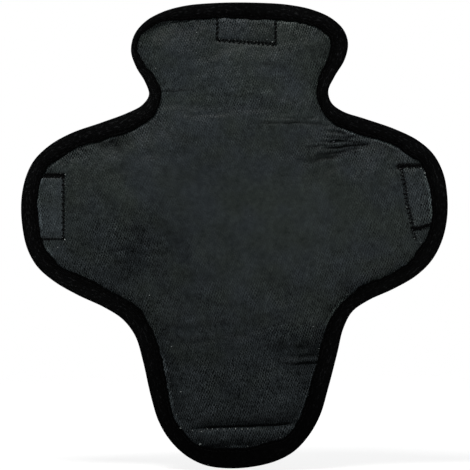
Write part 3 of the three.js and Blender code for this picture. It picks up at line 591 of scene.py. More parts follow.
# spot tables: see add_spots
# painted shade in the shallow hollows and beside the folds
HOLLOW_SHADE_SPOTS = ((0.36, -82, 171, 26, 20, 0.5), (0.14, -66, 198, 28, 14, 0.3), (0.36, 46, 101, 19, 9),
                (0.10, -34, 150, 26, 22), (0.08, -122, 182, 16, 14), (0.38, 72, 250, 17, 5, 0.15),
                (0.26, -46, 184, 13, 18), (0.22, -68, 156, 18, 9))
# painted light and shade: the dark spots are painted shadows, mostly beside the tape and one in the
# dent left of the neck; the light ones are painted light
LIGHT_AND_SHADE_SPOTS = ((0.10, 48, 190, 70, 50), (0.24, 63, 119, 13, 9), (0.22, -64, 299, 12, 18),
              (-0.66, -98, 260, 10, 6), (-0.30, 93, 147, 15, 7), (-0.30, 87, 339, 13, 9),
              (-0.20, -38, 350, 24, 8), (-0.32, 91, 267, 9, 6), (-0.36, 114, 261, 11, 6),
              (-0.30, 129, 255, 9, 6))
CAST_SPOTS = ((0.30, -44, 312, 34, 30), (0.30, -40, 240, 40, 40), (0.30, -90, 175, 40, 24),
              (-0.45, 48, 336, 30, 26), (-0.40, 60, 200, 60, 44), (-0.40, -116, 230, 26, 26),
              (-0.25, -44, 330, 16, 12))
WEAVE_SPOTS = ((-0.60, 20, 215, 95, 42), (-0.32, 15, 165, 60, 36), (-0.26, -60, 232, 60, 22),
               (0.75, -88, 176, 26, 20), (0.20, 10, 298, 80, 13), (0.45, 44, 108, 20, 12),
               (0.6, 66, 92, 14, 30), (0.4, 34, 136, 16, 12), (0.5, 84, 258, 18, 12))


def tone_front(x, z, inset, tape):
    """Brightness of the lining, 1 in the middle: painted light and shade for light from above, in
    the folds, seams and hollows and beside the tape, lighter sewn boxes and random unevenness.
    """
    free = inset - tape
    # painted shade by height: darker low down, lighter at the neck
    tone = stations(z, FRONT_SHADE_BY_HEIGHT)
    # painted shade: the lower lobe darkens strongly towards its edge, the rest less
    tone = tone - (0.20 * smoothstep(20, 0, free) * smoothstep(150, 118, z)
                   * smoothstep(30, 45, z))
    tone = tone - 0.16 * smoothstep(9, 0, free) * smoothstep(118, 140, z)
    tone = tone + 0.32 * inside_quad(x, z, QUAD_LEFT, 0.8)
    tone = tone + 0.20 * inside_quad(x, z, QUAD_RIGHT, 0.8)
    tone = tone + inside_quad(x, z, QUAD_TOP, 0.8) * stations(z, TOP_BOX_TONE)
    # painted shade in the shallow hollows and beside the folds, ragged at its edges
    ragged = 1 + 0.55 * NOISE[4](x / 13, z / 10) + 0.45 * NOISE[3](x / 5.2, z / 4.2)
    tone = tone - ragged * add_spots(0, x, z, HOLLOW_SHADE_SPOTS)
    # painted light and shade spots
    tone = add_spots(tone, x, z, LIGHT_AND_SHADE_SPOTS)
    tone = tone + 0.08 * NOISE[2](x / 31, z / 31) + 0.09 * NOISE[5](x / 9, z / 8)
    tone = tone + 0.08 * NOISE[6](x / 4.1, z / 3.6)
    # painted highlight on the ridges beside the folds, painted shade in the folds
    _, ridge, shade = creases(x, z, FRONT_CREASES)
    tone = tone + 0.17 * ridge * (1 + 0.9 * NOISE[0](x / 1.9, z / 1.9))
    tone = tone * np.clip(1 - shade, 0.08, 1)
    # stitched lines sink into shadow
    for line, _, _, dark, width in BOX_SEAMS:
        across = polyline_field(x, z, line)[0] + 0.4 * NOISE[5](x / 2.6, z / 2.6)
        tone = tone * (1 - dark * np.exp(-(across / width) ** 4))
    # lower seam: painted shade in and just above the groove, a painted highlight on the roll,
    # painted shade under the roll
    across, along = polyline_field(x, z, LOWER_SEAM)
    strength = smoothstep(0.10, 0.20, along) * smoothstep(1.0, 0.90, along)
    tone = tone * (1 - 0.80 * strength * np.exp(-((across - 0.6) / 1.3) ** 4)
                   - 0.45 * strength * np.exp(-((across - 3.4) / 3.0) ** 2))
    tone = tone + 0.12 * strength * np.exp(-((across + 3.4) / 2.2) ** 2)
    tone = tone - 0.30 * np.exp(-((across + 13.5) / 4.6) ** 2) * (across < 0)
    # painted highlight on the lining just beside the tape
    sliver = 0.85 * smoothstep(0.05, 0.75, NOISE[1](x / 9 + 4, z / 9 + 4))
    for centre_x, centre_z, reach, strength in SLIVERS:
        square = (x - centre_x) ** 2 + (z - centre_z) ** 2
        sliver = sliver + 1.7 * strength * np.exp(-square / reach ** 2)
    tone = tone + (sliver * (1 + 0.4 * NOISE[7](x / 2.4, z / 2.4))
                   * np.exp(-((free - 0.9) / 0.9) ** 2))
    return np.clip(tone, 0.05, None)


def cast_front(x, z):
    """How cool the lining looks: 0 greenish, 1 bluish."""
    cast = 0.55 + 0.45 * smoothstep(120, 80, z) + 0.30 * NOISE[3](x / 22 + 7, z / 22)
    for quad, amount in ((QUAD_TOP, 0.45), (QUAD_LEFT, 0.45), (QUAD_RIGHT, 0.25)):
        cast = cast + amount * inside_quad(x, z, quad, 2)
    return add_spots(cast, x, z, CAST_SPOTS)


def weave_front(x, z, inset, tape):
    """How strongly the ribs of the cloth show."""
    show = add_spots(0.72, x, z, WEAVE_SPOTS)
    show = show - 0.22 * smoothstep(250, 275, z) + 0.12 * smoothstep(340, 350, z)
    show = show + 0.50 * smoothstep(98, 80, z)
    show = show + 0.35 * inside_quad(x, z, QUAD_RIGHT, 3) - 0.10 * inside_quad(x, z, QUAD_LEFT, 1)
    show = show + 0.40 * smoothstep(12, 2, inset - tape)
    show = show * (1 + 0.40 * NOISE[7](x / 12 + 2, z / 12 + 5))
    return np.clip(show, 0.10, 2.0)


def tone_back(x, z, inset, tape):
    """Brightness of the back cover: random patches, painted shade in the creases, beside the tape
    and in the lower seam, with painted highlights on the ridges and just below the seam.
    """
    tone = 1 + 0.10 * NOISE[1](x / 34 + 2, z / 34) + 0.08 * NOISE[3](x / 11, z / 9)
    tone = tone + 0.06 * NOISE[6](x / 4.4, z / 4.0)
    valley, ridge, _ = creases(x, z, BACK_CREASES)
    tone = tone * (1 - 0.55 * np.tanh(1.3 * valley)) + 0.22 * ridge
    tone = tone * (1 - 0.30 * np.exp(-np.maximum(inset - tape, 0) / 2.5))
    across, along = polyline_field(x, z, LOWER_SEAM)
    strength = smoothstep(0.04, 0.12, along) * smoothstep(1.0, 0.90, along)
    tone = (tone * (1 - 0.65 * strength * np.exp(-(across / 1.4) ** 2))
            + 0.10 * strength * np.exp(-((across + 3.2) / 2.0) ** 2))
    return np.clip(tone, 0.1, None)


# ------------------------------------------------------------------ node building
class Nodes:
    """Builds a node tree: numbers or sockets go in, sockets come out."""

    def __init__(self, owner):
        owner.use_nodes = True
        self.tree = owner.node_tree
        self.tree.nodes.clear()

    def feed(self, socket, value):
        if isinstance(value, bpy.types.NodeSocket):
            self.tree.links.new(value, socket)
        else:
            socket.default_value = value

    def node(self, kind, inputs=None, **settings):
        made = self.tree.nodes.new(kind)
        for key, value in settings.items():
            setattr(made, key, value)
        for key, value in (inputs or {}).items():
            self.feed(made.inputs[key], value)
        return made

    def math(self, operation, *values, clamp=False):
        return self.node("ShaderNodeMath", dict(enumerate(values)), operation=operation,
                         use_clamp=clamp).outputs[0]

    def add(self, a, b, clamp=False):
        return self.math("ADD", a, b, clamp=clamp)

    def sub(self, a, b):
        return self.math("SUBTRACT", a, b)

    def mul(self, a, b):
        return self.math("MULTIPLY", a, b)

    def mul_add(self, a, factor, plus, clamp=False):
        return self.math("MULTIPLY_ADD", a, factor, plus, clamp=clamp)

    def wave(self, value, period):
        return self.math("SINE", self.mul(value, 2 * math.pi / period))

    def mix_shader(self, factor, first, second):
        return self.node("ShaderNodeMixShader", {0: factor, 1: first, 2: second}).outputs[0]


class Surface(Nodes):
    """A material with one Principled surface, its patterns measured in millimetres."""

    INPUTS = dict(colour="Base Color", roughness="Roughness", specular="Specular IOR Level",
                  sheen="Sheen Weight", sheen_roughness="Sheen Roughness",
                  sheen_tint="Sheen Tint", metallic="Metallic")

    def __init__(self, name):
        self.material = bpy.data.materials.new(name)
        super().__init__(self.material)
        output = self.node("ShaderNodeOutputMaterial")
        self.bsdf = self.node("ShaderNodeBsdfPrincipled")
        self.feed(output.inputs[0], self.bsdf.outputs[0])

    def finish(self, **values):
        """Set the surface's inputs and return the material."""
        for key, value in values.items():
            self.feed(self.bsdf.inputs[self.INPUTS[key]], value)
        return self.material

    def times(self, vector, value):
        return self.node("ShaderNodeVectorMath", {0: vector, "Scale": value},
                         operation="SCALE").outputs[0]

    def place(self):
        """Position on the object."""
        return self.times(self.node("ShaderNodeTexCoord").outputs["Object"], 1000.0)

    def uv_place(self):
        """Position along and across the strip."""
        return self.times(self.node("ShaderNodeUVMap", uv_map="weave").outputs[0], 1.0)

    def split(self, vector):
        return self.node("ShaderNodeSeparateXYZ", {0: vector}).outputs

    def noise(self, vector, scale, detail=2.0, rough=0.5, distortion=0.0):
        return self.node("ShaderNodeTexNoise", {
            "Scale": scale, "Detail": detail, "Roughness": rough, "Distortion": distortion,
            "Vector": vector}).outputs[0]

    def swing(self, vector, scale, detail=2.0, rough=0.5):
        """Noise about zero."""
        return self.sub(self.noise(vector, scale, detail, rough), 0.5)

    def blend(self, factor, dark, light):
        return self.node("ShaderNodeMix", {"A": (*dark, 1), "B": (*light, 1), "Factor": factor},
                         data_type="RGBA").outputs["Result"]

    def attribute(self, name):
        return self.node("ShaderNodeAttribute", attribute_name=name).outputs["Fac"]

    def bump(self, height, distance):
        made = self.node("ShaderNodeBump",
                         {"Distance": distance * MM, "Strength": 1.0, "Height": height})
        self.feed(self.bsdf.inputs["Normal"], made.outputs[0])


def srgb(*channels):
    """Linear colour from 0-255 display values."""
    return tuple(c / 255 / 12.92 if c / 255 <= 0.04045 else ((c / 255 + 0.055) / 1.055) ** 2.4
                 for c in channels)


# ------------------------------------------------------------------ materials
def lining_material(name, base, pitch, lean):
    """Fine knit lining: steep diagonal ribs broken up into small loops, with a soft sheen."""
    sf = Surface(name)
    vec = sf.place()
    x, _, z = sf.split(vec)
    # distance across the ribs, wandering slowly and then finely
    wander = sf.mul(sf.swing(vec, scale=0.05, detail=3.0), 5.0)
    across = sf.add(sf.sub(sf.mul(x, math.sin(lean)), sf.mul(z, math.cos(lean))), wander)
    across = sf.add(across, sf.mul(sf.swing(vec, scale=0.36), 1.5))
    run = sf.add(sf.mul(x, math.cos(lean)), sf.mul(z, math.sin(lean)))
    rib = sf.wave(across, pitch)
    # loops 1.25 pitches long, staggered from one rib to the next
    loop = sf.math("SINE", sf.add(sf.mul(run, 2 * math.pi / (pitch * 1.25)),
                                  sf.mul(across, math.pi / pitch)))
    knit = sf.add(sf.mul(rib, 0.72), sf.mul(loop, 0.42))
    fine = sf.swing(vec, scale=0.62, rough=0.6)
    grain = sf.swing(vec, scale=0.22, detail=3.0, rough=0.6)
    slow = sf.swing(vec, scale=0.05, detail=3.0, rough=0.55)
    mid = sf.swing(vec, scale=0.40, detail=1.0)
    show = sf.attribute("weave")
    # the ribs come and go in short runs
    fade = sf.math("MAXIMUM", sf.mul_add(grain, 3.2, 0.9), 0.12)
    ribs = sf.mul(sf.mul(knit, show), fade)
    # brightness: ribs and speckle where the weave shows, then unevenness everywhere
    level = sf.add(sf.mul(ribs, 0.66), sf.mul(sf.add(sf.mul(fine, 1.9), mid), show))
    level = sf.add(level, sf.add(sf.mul_add(mid, 0.40, sf.mul(grain, 0.95)), sf.mul(slow, 0.35)))
    gain = sf.math("MAXIMUM", sf.add(level, 1.0), 0.12)
    # the tone attribute brings in the painted light and shade of the lining
    gain = sf.mul(gain, sf.attribute("tone"))
    # a greener and a cooler cast that drift over the cloth
    cast = sf.add(sf.mul_add(sf.noise(vec, scale=0.05), 2.6, -1.3), sf.attribute("cast"),
                  clamp=True)
    greener, cooler = (tuple(a * b for a, b in zip(base, tint))
                       for tint in ((1.00, 1.02, 0.94), (0.97, 0.98, 1.16)))
    sf.bump(sf.add(sf.mul(ribs, 0.7), sf.mul(fine, 1.6)), distance=0.26)
    return sf.finish(
        colour=sf.times(sf.blend(cast, greener, cooler), gain),
        roughness=sf.mul_add(fine, 0.25, 0.52, clamp=True), specular=sf.mul(gain, 0.107),
        sheen=0.066, sheen_roughness=0.45, sheen_tint=(0.72, 0.80, 0.82, 1))


def plain_weave_material(name, dark, light, pitch=0.95, toned=False):
    """Coarse plain-woven cloth, each thread one pitch wide."""
    sf = Surface(name)
    vec = sf.place()
    x, _, z = sf.split(vec)
    wander = sf.mul(sf.swing(vec, scale=0.11), 0.9)
    weave = sf.mul(sf.wave(sf.add(x, wander), 2 * pitch), sf.wave(sf.add(z, wander), 2 * pitch))
    fine = sf.swing(vec, scale=1.7, detail=3.0, rough=0.6)
    slow = sf.swing(vec, scale=0.03, detail=3.0)
    # brightness: threads, then fine and slow unevenness
    level = sf.add(sf.mul_add(weave, 0.40, 0.5), sf.add(sf.mul(fine, 0.7), sf.mul(slow, 0.8)),
                   clamp=True)
    colour = sf.blend(level, dark, light)
    # the tone attribute brings in painted shade and highlights where given
    if toned:
        colour = sf.times(colour, sf.attribute("tone"))
    sf.bump(sf.add(sf.mul(sf.math("ABSOLUTE", weave), 0.8), fine), distance=0.16)
    return sf.finish(colour=colour, roughness=0.72, specular=0.25, sheen=0.15,
                     sheen_roughness=0.5)


def tape_material(name, dark, light, specular=0.03, toned=False):
    """Binding tape: fine ribs across the tape with a brushed nap."""
    sf = Surface(name)
    vec = sf.uv_place()
    u, v, _ = sf.split(vec)
    ribs = sf.mul(sf.add(sf.wave(u, 1.05), sf.mul(sf.wave(v, 0.8), 0.5)), 0.14)
    fine = sf.swing(vec, scale=1.1, detail=4.0, rough=0.65)
    slow = sf.swing(vec, scale=0.05)
    # brightness: ribs, then fine and slow unevenness
    level = sf.add(sf.add(ribs, 0.45), sf.add(sf.mul(fine, 1.5), sf.mul(slow, 0.6)), clamp=True)
    # pale flecks of nap, longer along the tape; only the noise peaks show
    stretched = sf.node("ShaderNodeMapping", {"Scale": (0.35, 1.0, 1.0), "Vector": vec}).outputs[0]
    peaks = sf.mul_add(sf.noise(stretched, scale=0.75, rough=0.7), 6.0, -3.3)
    fleck = sf.math("MAXIMUM", peaks, 0.0)
    colour = sf.times(sf.blend(level, dark, light), sf.mul_add(fleck, 6.5, 0.85))
    # the tone attribute brings in painted shade and highlights where given
    if toned:
        colour = sf.times(colour, sf.attribute("tone"))
    sf.bump(sf.add(sf.mul(ribs, 2.0), fine), distance=0.3)
    return sf.finish(colour=colour, roughness=0.85, specular=specular, sheen=0.0,
                     sheen_roughness=0.6)


def webbing_material(name, dark, light, pitch=2.1, column=4.2):
    """Nylon webbing: herringbone columns along the strap."""
    sf = Surface(name)
    vec = sf.uv_place()
    u, v, _ = sf.split(vec)
    # the offset keeps the zigzag's input positive
    zigzag = sf.math("PINGPONG", sf.add(v, 100.0), column)
    rib = sf.math("SINE", sf.add(sf.mul(u, 2 * math.pi / pitch),
                                 sf.mul(zigzag, 2 * math.pi / (column * 1.05))))
    # the high power narrows the groove between columns
    cosine = sf.math("COSINE", sf.mul(v, math.pi / column))
    groove = sf.math("POWER", sf.math("ABSOLUTE", cosine), 9.0)
    fine = sf.swing(vec, scale=1.6, detail=3.0, rough=0.6)
    slow = sf.swing(vec, scale=0.06, detail=3.0)
    height = sf.sub(sf.mul_add(rib, 0.5, 0.5), sf.mul(groove, 0.55))
    # brightness: ribs, then fine and slow unevenness
    level = sf.add(sf.mul(height, 0.75), sf.add(sf.mul(fine, 0.5), sf.mul(slow, 0.5)), clamp=True)
    sf.bump(sf.add(height, sf.mul(fine, 0.4)), distance=0.35)
    return sf.finish(colour=sf.blend(level, dark, light),
                     roughness=sf.mul_add(fine, 0.3, 0.62, clamp=True),
                     specular=0.35, sheen=0.12)


def loop_pile_material(name, dark, light):
    """Tangled loop pile."""
    sf = Surface(name)
    pile = sf.noise(sf.uv_place(), scale=0.85, detail=5.0, rough=0.75, distortion=1.2)
    sf.bump(pile, distance=0.6)
    return sf.finish(colour=sf.blend(pile, dark, light), roughness=0.95, specular=0.25, sheen=0.4)


def hook_tape_material(name, dark, light):
    """Rows of small hooks."""
    sf = Surface(name)
    u, v, _ = sf.split(sf.uv_place())
    hooks = sf.math("MAXIMUM", sf.mul(sf.wave(u, 1.5), sf.wave(v, 1.3)), 0.0)
    sf.bump(hooks, distance=0.6)
    return sf.finish(colour=sf.blend(hooks, dark, light), roughness=0.5, specular=0.25, sheen=0.0)


def thread_material(name, dark, light, specular=0.02):
    """Twisted sewing thread."""
    sf = Surface(name)
    x, y, z = sf.split(sf.place())
    twist = sf.wave(sf.add(sf.add(x, z), y), 0.42)
    sf.bump(twist, distance=0.05)
    return sf.finish(colour=sf.blend(sf.mul_add(twist, 0.4, 0.5, clamp=True), dark, light),
                     roughness=0.6, specular=specular)


def metal_material(name, dark, light):
    """Bare metal with fine scratches."""
    sf = Surface(name)
    vec = sf.place()
    scratch = sf.noise(vec, scale=0.9, detail=4.0, rough=0.7, distortion=0.4)
    sf.bump(scratch, distance=0.02)
    return sf.finish(colour=sf.blend(sf.noise(vec, scale=0.12), dark, light), metallic=1.0,
                     roughness=sf.mul_add(scratch, 0.30, 0.14, clamp=True))


def foam_material(name, dark, light):
    """Cellular foam."""
    sf = Surface(name)
    cells = sf.node("ShaderNodeTexVoronoi", {"Scale": 1.1, "Vector": sf.place()})
    cells = cells.outputs["Distance"]
    sf.bump(cells, distance=0.3)
    return sf.finish(colour=sf.blend(cells, dark, light), roughness=0.95)


def lint_material(name, dark, light):
    """Pale lint, its brightness varying from place to place."""
    sf = Surface(name)
    level = sf.mul_add(sf.noise(sf.place(), scale=0.09, detail=3.0), 2.4, -0.7, clamp=True)
    return sf.finish(colour=sf.blend(level, dark, light), roughness=0.9)


MATERIALS = {
    "lining": lining_material("lining_front", base=(0.0077, 0.0105, 0.0101), pitch=1.80,
                              lean=math.radians(72)),
    "back": plain_weave_material("lining_back", dark=srgb(12, 14, 15), light=srgb(56, 61, 63),
                                 pitch=1.25, toned=True),
    "sleeve": plain_weave_material("sleeve_cloth", dark=srgb(9, 10, 11), light=srgb(46, 49, 52),
                                   pitch=1.1),
    "tape": tape_material("binding_tape", dark=(0.0002, 0.0002, 0.00022),
                          light=(0.0021, 0.0022, 0.0023), specular=0.012, toned=True),
    "end_tape": tape_material("end_tape", dark=(0.0010, 0.0010, 0.0011),
                              light=(0.0075, 0.0078, 0.0083)),
    "web": webbing_material("webbing", dark=srgb(9, 9, 10), light=srgb(42, 44, 47)),
    "loop": loop_pile_material("loop_pile", dark=srgb(8, 8, 9), light=srgb(44, 45, 47)),
    "hook": hook_tape_material("hook_tape", dark=srgb(7, 7, 8), light=srgb(36, 37, 39)),
    "thread": thread_material("thread_black", dark=(0.0003, 0.0003, 0.0003),
                              light=(0.0035, 0.0035, 0.0037)),
    "back_thread": thread_material("thread_back", dark=(0.0006, 0.0006, 0.0006),
                                   light=(0.0045, 0.0045, 0.0048), specular=0.05),
    "metal": metal_material("ring_metal", dark=(0.36, 0.37, 0.38), light=(0.56, 0.57, 0.58)),
    "foam": foam_material("foam_soft", dark=srgb(60, 62, 65), light=srgb(96, 99, 102)),
    "core": foam_material("foam_core", dark=srgb(34, 36, 38), light=srgb(60, 62, 66)),
    "backing": plain_weave_material("backing_cloth", dark=srgb(22, 24, 26),
                                    light=srgb(60, 62, 66)),
    "lint": lint_material("lint", dark=(0.030, 0.036, 0.035), light=(0.16, 0.175, 0.17)),
}


def dress(ob, material, body, slot, *nodes):
    """Give a piece its material and the body it rides on, and hide the CAD nodes it replaces; slot
    is not used.
    """
    ob.data.materials.append(MATERIALS[material])
    if body:
        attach(ob, body)
    if nodes:
        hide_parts(*nodes)


# ------------------------------------------------------------------ covers
def grid_lines(low, high, step, fine):
    """Lines from low to high, closer together inside the (from, to, step) spans."""
    lines, v = [], low
    while v < high + step:
        lines.append(v)
        v += min([step] + [close for start, end, close in fine if start <= v < end])
    return np.array(lines)


def cover_cloth(name, step, relief, sign, fine_x=(), fine_z=()):
    """A cover following the outline, and the X, Z, inset and tape width of its points."""
    grid_x, grid_z = np.meshgrid(grid_lines(*GRID_X, step, fine_x),
                                 grid_lines(*GRID_Z, step, fine_z), indexing="ij")
    insets, inward, tapes, alongs = rim_field(grid_x, grid_z)
    count, quads = grid_faces(insets > COVER_INSET, sign)
    used = count > 0
    # border points slide out to the exact inset
    border = used & (count < 4)
    move = np.where(border, COVER_INSET - insets, 0.0)
    x = (grid_x + inward[..., 0] * move)[used]
    z = (grid_z + inward[..., 1] * move)[used]
    inset, tape = np.where(border, COVER_INSET, insets)[used], tapes[used]
    height = relief(x, z, inset, tape, alongs[used])
    inner = np.maximum(height - COVER_THICKNESS, 0.25)
    return closed_sheet(name, x, z, sign * height, sign * inner, quads), x, z, inset, tape


def front_cover():
    # finer grid lines over the seams and sharp folds: from, to, step
    fine_x = ((-139, -134, 0.8), (-15.5, -11.5, 0.8), (30.5, 34.5, 0.8), (155, 161, 0.9))
    fine_z = ((243, 271, 0.7), (272, 280, 0.85), (28.5, 37, 0.7), (82, 92, 0.8),
              (337, 343.5, 0.7), (298.5, 303, 0.8), (231, 236, 0.8))
    cover, x, z, inset, tape = cover_cloth("front_cover_cloth", 1.42, front_relief, -1,
                                           fine_x, fine_z)
    point_attribute(cover, "tone", np.tile(tone_front(x, z, inset, tape), 2))
    point_attribute(cover, "weave", np.tile(weave_front(x, z, inset, tape), 2))
    point_attribute(cover, "cast", np.tile(cast_front(x, z), 2))
    dress(cover, "lining", "shield", "lining", "front_cover")


def back_cover():
    cover, *fields = cover_cloth("back_cover_cloth", 1.55, back_relief, 1)
    point_attribute(cover, "tone", np.tile(tone_back(*fields), 2))
    dress(cover, "back", "shield", "back_lining", "back_cover")


# ------------------------------------------------------------------ stitches and edge binding
def stitch_mesh(name, stitches, radius=0.34):
    """stitches: (centre, direction, up, length, radius scale), each one a sunk grain of thread."""
    verts, faces = [], []
    rings, sides = 5, 6
    for centre, direction, up, length, scale in stitches:
        centre, tangent, up = (np.array(a, float) for a in (centre, direction, up))
        tangent /= np.linalg.norm(tangent)
        up = up - tangent * (up @ tangent)
        up /= np.linalg.norm(up)
        across = np.cross(tangent, up)
        full = radius * scale
        faces += (tube_faces(rings, sides, len(verts)) + end_caps(rings, sides, len(verts)))
        for k in range(rings):
            f = -1 + 2 * k / (rings - 1)
            size = full * (0.45 + 0.55 * math.sqrt(max(0.0, 1 - f * f * 0.9)))
            drop = -0.30 * full * f * f * 2.2       # both ends dip into the cloth
            for i in range(sides):
                a = 2 * math.pi * i / sides
                verts.append(centre + tangent * f * length / 2
                             + up * (drop + size * math.sin(a)) + across * size * math.cos(a))
    return new_solid(name, verts, faces)


# the tape's section from its inner edge outwards: share of the width, height
TAPE_SECTION = ((1.0, 2.05), (0.985, 2.62), (0.95, 2.98), (0.90, 3.12), (0.85, 3.05), (0.80, 3.12),
                (0.74, 3.32), (0.66, 3.50), (0.56, 3.66), (0.46, 3.76), (0.36, 3.80), (0.27, 3.76),
                (0.19, 3.62), (0.125, 3.30))
# its fold round the rim: inset, height in front of and then behind the mid-plane
FRONT_FOLD = ((0.85, 2.95), (0.42, 2.35), (0.14, 1.55), (0.02, 0.7), (0.0, 0.0))
BACK_FOLD = ((0.02, 0.8), (0.14, 1.7), (0.42, 2.5), (0.85, 3.1))
TAPE_SEAM = 0.85                                # the stitched line, as a share of the width
# painted shade and highlight on the tape: by height (Z, tone), and across it (share of the width,
# tone)
BINDING_SHADE_BY_HEIGHT = ((0, 0.20), (25, 0.25), (60, 0.45), (130, 0.75), (200, 1.0), (372, 1.0))
ACROSS_LIGHT_AND_SHADE = ((0.1, 1.2), (0.3, 1.5), (0.5, 1.4), (0.7, 0.9), (0.85, 0.5), (1.0, 0.35))


def binding_section(along, front, back):
    """Rings of the tape as (inset, Y, v), starting at its inner edge on the struck face."""
    pull = 0.20 + 0.22 * (0.5 + 0.5 * np.cos(2 * np.pi * along / BINDING_PITCH))

    def swell(share, height, broad, fine):
        """Soft bulges off the inner edge, less the dip along the stitches."""
        dip = np.exp(-((share - TAPE_SEAM) / 0.035) ** 2) * pull
        return (broad + fine) * (1 if height > 2.2 else 0) - dip

    rings = []
    for f, y in TAPE_SECTION:
        broad, fine = 0.16 * NOISE[6](along / 8.0, f * 3), 0.07 * NOISE[7](along / 2.6, f * 9)
        rings.append((front * f, -(y + swell(f, y, broad, fine)), f * 14))
    rings += [(inset, -y, inset - 1 - y * 0.2) for inset, y in FRONT_FOLD]
    rings += [(inset, y, -3 - y) for inset, y in BACK_FOLD]
    for f, y in TAPE_SECTION[::-1]:
        broad, fine = 0.14 * NOISE[5](along / 8.0, f * 3 + 20), 0.06 * NOISE[4](along / 2.6, f * 9)
        rings.append((back * f, y + 0.18 + swell(f, y, broad, fine), -8 - 14 * (1 - f)))
    # back through the inside of the pad
    return rings + [(back * 0.5, 1.2, -30.0), (2.2, 0.9, -36.0), (2.2, -0.8, -38.0),
                    (front * 0.5, -1.0, -44.0)]


def edge_binding():
    count = 1150
    point, inward, tape, along = rim_points(count)
    front = tape + (0.50 * NOISE[2](along / 5.2, 3.3) + 0.28 * NOISE[3](along / 2.1, 1.7)
                    + 0.35 * NOISE[5](along / 17, 8.0))
    back = (np.clip(tape * 0.35 + 12.4 * 0.65, 9.0, 14.0)
            + 0.30 * NOISE[4](along / 6.1, 5.0))
    rings = binding_section(along, front, back)
    verts = np.concatenate([
        np.stack([point[:, 0] + inward[:, 0] * inset, np.broadcast_to(y, count),
                  point[:, 1] + inward[:, 1] * inset], 1) for inset, y, _ in rings])
    uv = np.concatenate([np.stack([along, np.full(count, v)], 1) for _, _, v in rings])
    binding = new_solid("edge_binding_tape", verts, tube_faces(len(rings), count, closed=True))
    vertex_uv(binding, uv)
    # painted shade: darker low down and towards the inner edge, with a painted highlight along the
    # tape's crown; also darker on the right
    round_tone = stations(point[:, 1], BINDING_SHADE_BY_HEIGHT)
    round_tone = (round_tone * (1 + 0.25 * NOISE[1](along / 40, 2.0))
                  * np.where(point[:, 0] > 60, 0.8, 1.0))
    across_tone = np.ones(len(rings))
    across_tone[:len(TAPE_SECTION)] = stations([f for f, _ in TAPE_SECTION], ACROSS_LIGHT_AND_SHADE)
    tone = np.outer(across_tone, round_tone)
    # painted light: the tape on the strap side twice as bright as on the struck face
    tone[[np.mean(y) > 0.5 for _, y, _ in rings]] = 2.0
    point_attribute(binding, "tone", tone.ravel())
    stitches = []
    for k in range(int(RIM_LENGTH / BINDING_PITCH)):
        i = int(round((k + 0.5) * BINDING_PITCH / RIM_LENGTH * count)) % count
        for width, y, sign in ((front, 2.86, -1), (back, 3.04, 1)):
            x, z = point[i] + inward[i] * (width[i] * TAPE_SEAM)
            stitches.append(((x, sign * y, z), (inward[i, 1], 0, -inward[i, 0]),
                             (0, sign, 0), 2.7, 0.85))
    dress(binding, "tape", "shield", "binding_tape", "edge_binding")
    dress(stitch_mesh("binding_stitches", stitches), "thread", "shield", "thread")


front_cover()
back_cover()
edge_binding()


# ------------------------------------------------------------------ inside the pad
def within(x, z, box):
    x0, x1, z0, z1 = box
    return (x > x0) & (x < x1) & (z > z0) & (z < z1)


def slab(name, step, inset, relief, sign, base, cutouts=(), keep=None):
    """A layer from base to just under a cover, less its cutouts, or only inside keep."""
    x, z = np.meshgrid(np.arange(GRID_X[0], GRID_X[1] + step, step),
                       np.arange(GRID_Z[0], GRID_Z[1] + step, step), indexing="ij")
    insets, _, tape, along = rim_field(x, z)
    ok = insets > inset
    for box in cutouts:
        ok &= ~within(x, z, box)
    if keep is not None:
        ok &= within(x, z, keep)
    count, quads = grid_faces(ok, sign)
    x, z, insets, tape, along = (a[count > 0] for a in (x, z, insets, tape, along))
    height = np.maximum(relief(x, z, insets, tape, along) - 1.7, base + 0.5)
    return closed_sheet(name, x, z, sign * height, np.full(len(x), sign * base), quads)


# backing patches: mesh, CAD node, box as X from, X to, Z from, Z to
PATCHES = (("top_backing_cloth", "top_backing_patch", (-15.5, 34.5, 338, 400)),
           ("left_backing_cloth", "left_backing_patch", (-200, -135, 181, 235.5)),
           ("right_backing_cloth", "right_backing_patch", (132, 200, 182.5, 242.5)))
PATCH_GAP = 1.5                                 # between the foam and each patch
CUTOUTS = [(x0 - PATCH_GAP, x1 + PATCH_GAP, z0 - PATCH_GAP, z1 + PATCH_GAP)
           for _, _, (x0, x1, z0, z1) in PATCHES] + [(-100, 100, -10, 37)]

dress(slab("soft_foam_layer", 3.0, 20, front_relief, -1, base=0.15, cutouts=CUTOUTS),
      "foam", "shield", "foam", "front_foam")
dress(slab("core_foam_layer", 3.0, 20, back_relief, 1, base=0.15, cutouts=CUTOUTS),
      "core", "shield", "core_foam", "impact_core")
dress(slab("lower_roll_foam", 1.5, 15.5, front_relief, -1, base=0.15, keep=(-34, 44, 8, 31)),
      "foam", "shield", "foam", "lower_edge_roll")
for name, cad_node, box in PATCHES:
    dress(slab(name, 1.5, 19, back_relief, 1, base=0.2, keep=box),
          "backing", "shield", "backing", cad_node)


# ------------------------------------------------------------------ stitching on the struck face
def along_line(line, pitch):
    """Evenly spaced points along a polyline, with directions."""
    points = np.array(line, float)
    run = run_lengths(points)
    count = max(1, int(round(run[-1] / pitch)))
    at = (np.arange(count) + 0.5) * run[-1] / count
    x, z = np.interp(at, run, points[:, 0]), np.interp(at, run, points[:, 1])
    dx, dz = (np.interp(at + 0.5, run, points[:, k]) - np.interp(at - 0.5, run, points[:, k])
              for k in (0, 1))
    return x, z, np.stack([dx, dz], 1) / np.hypot(dx, dz)[:, None]


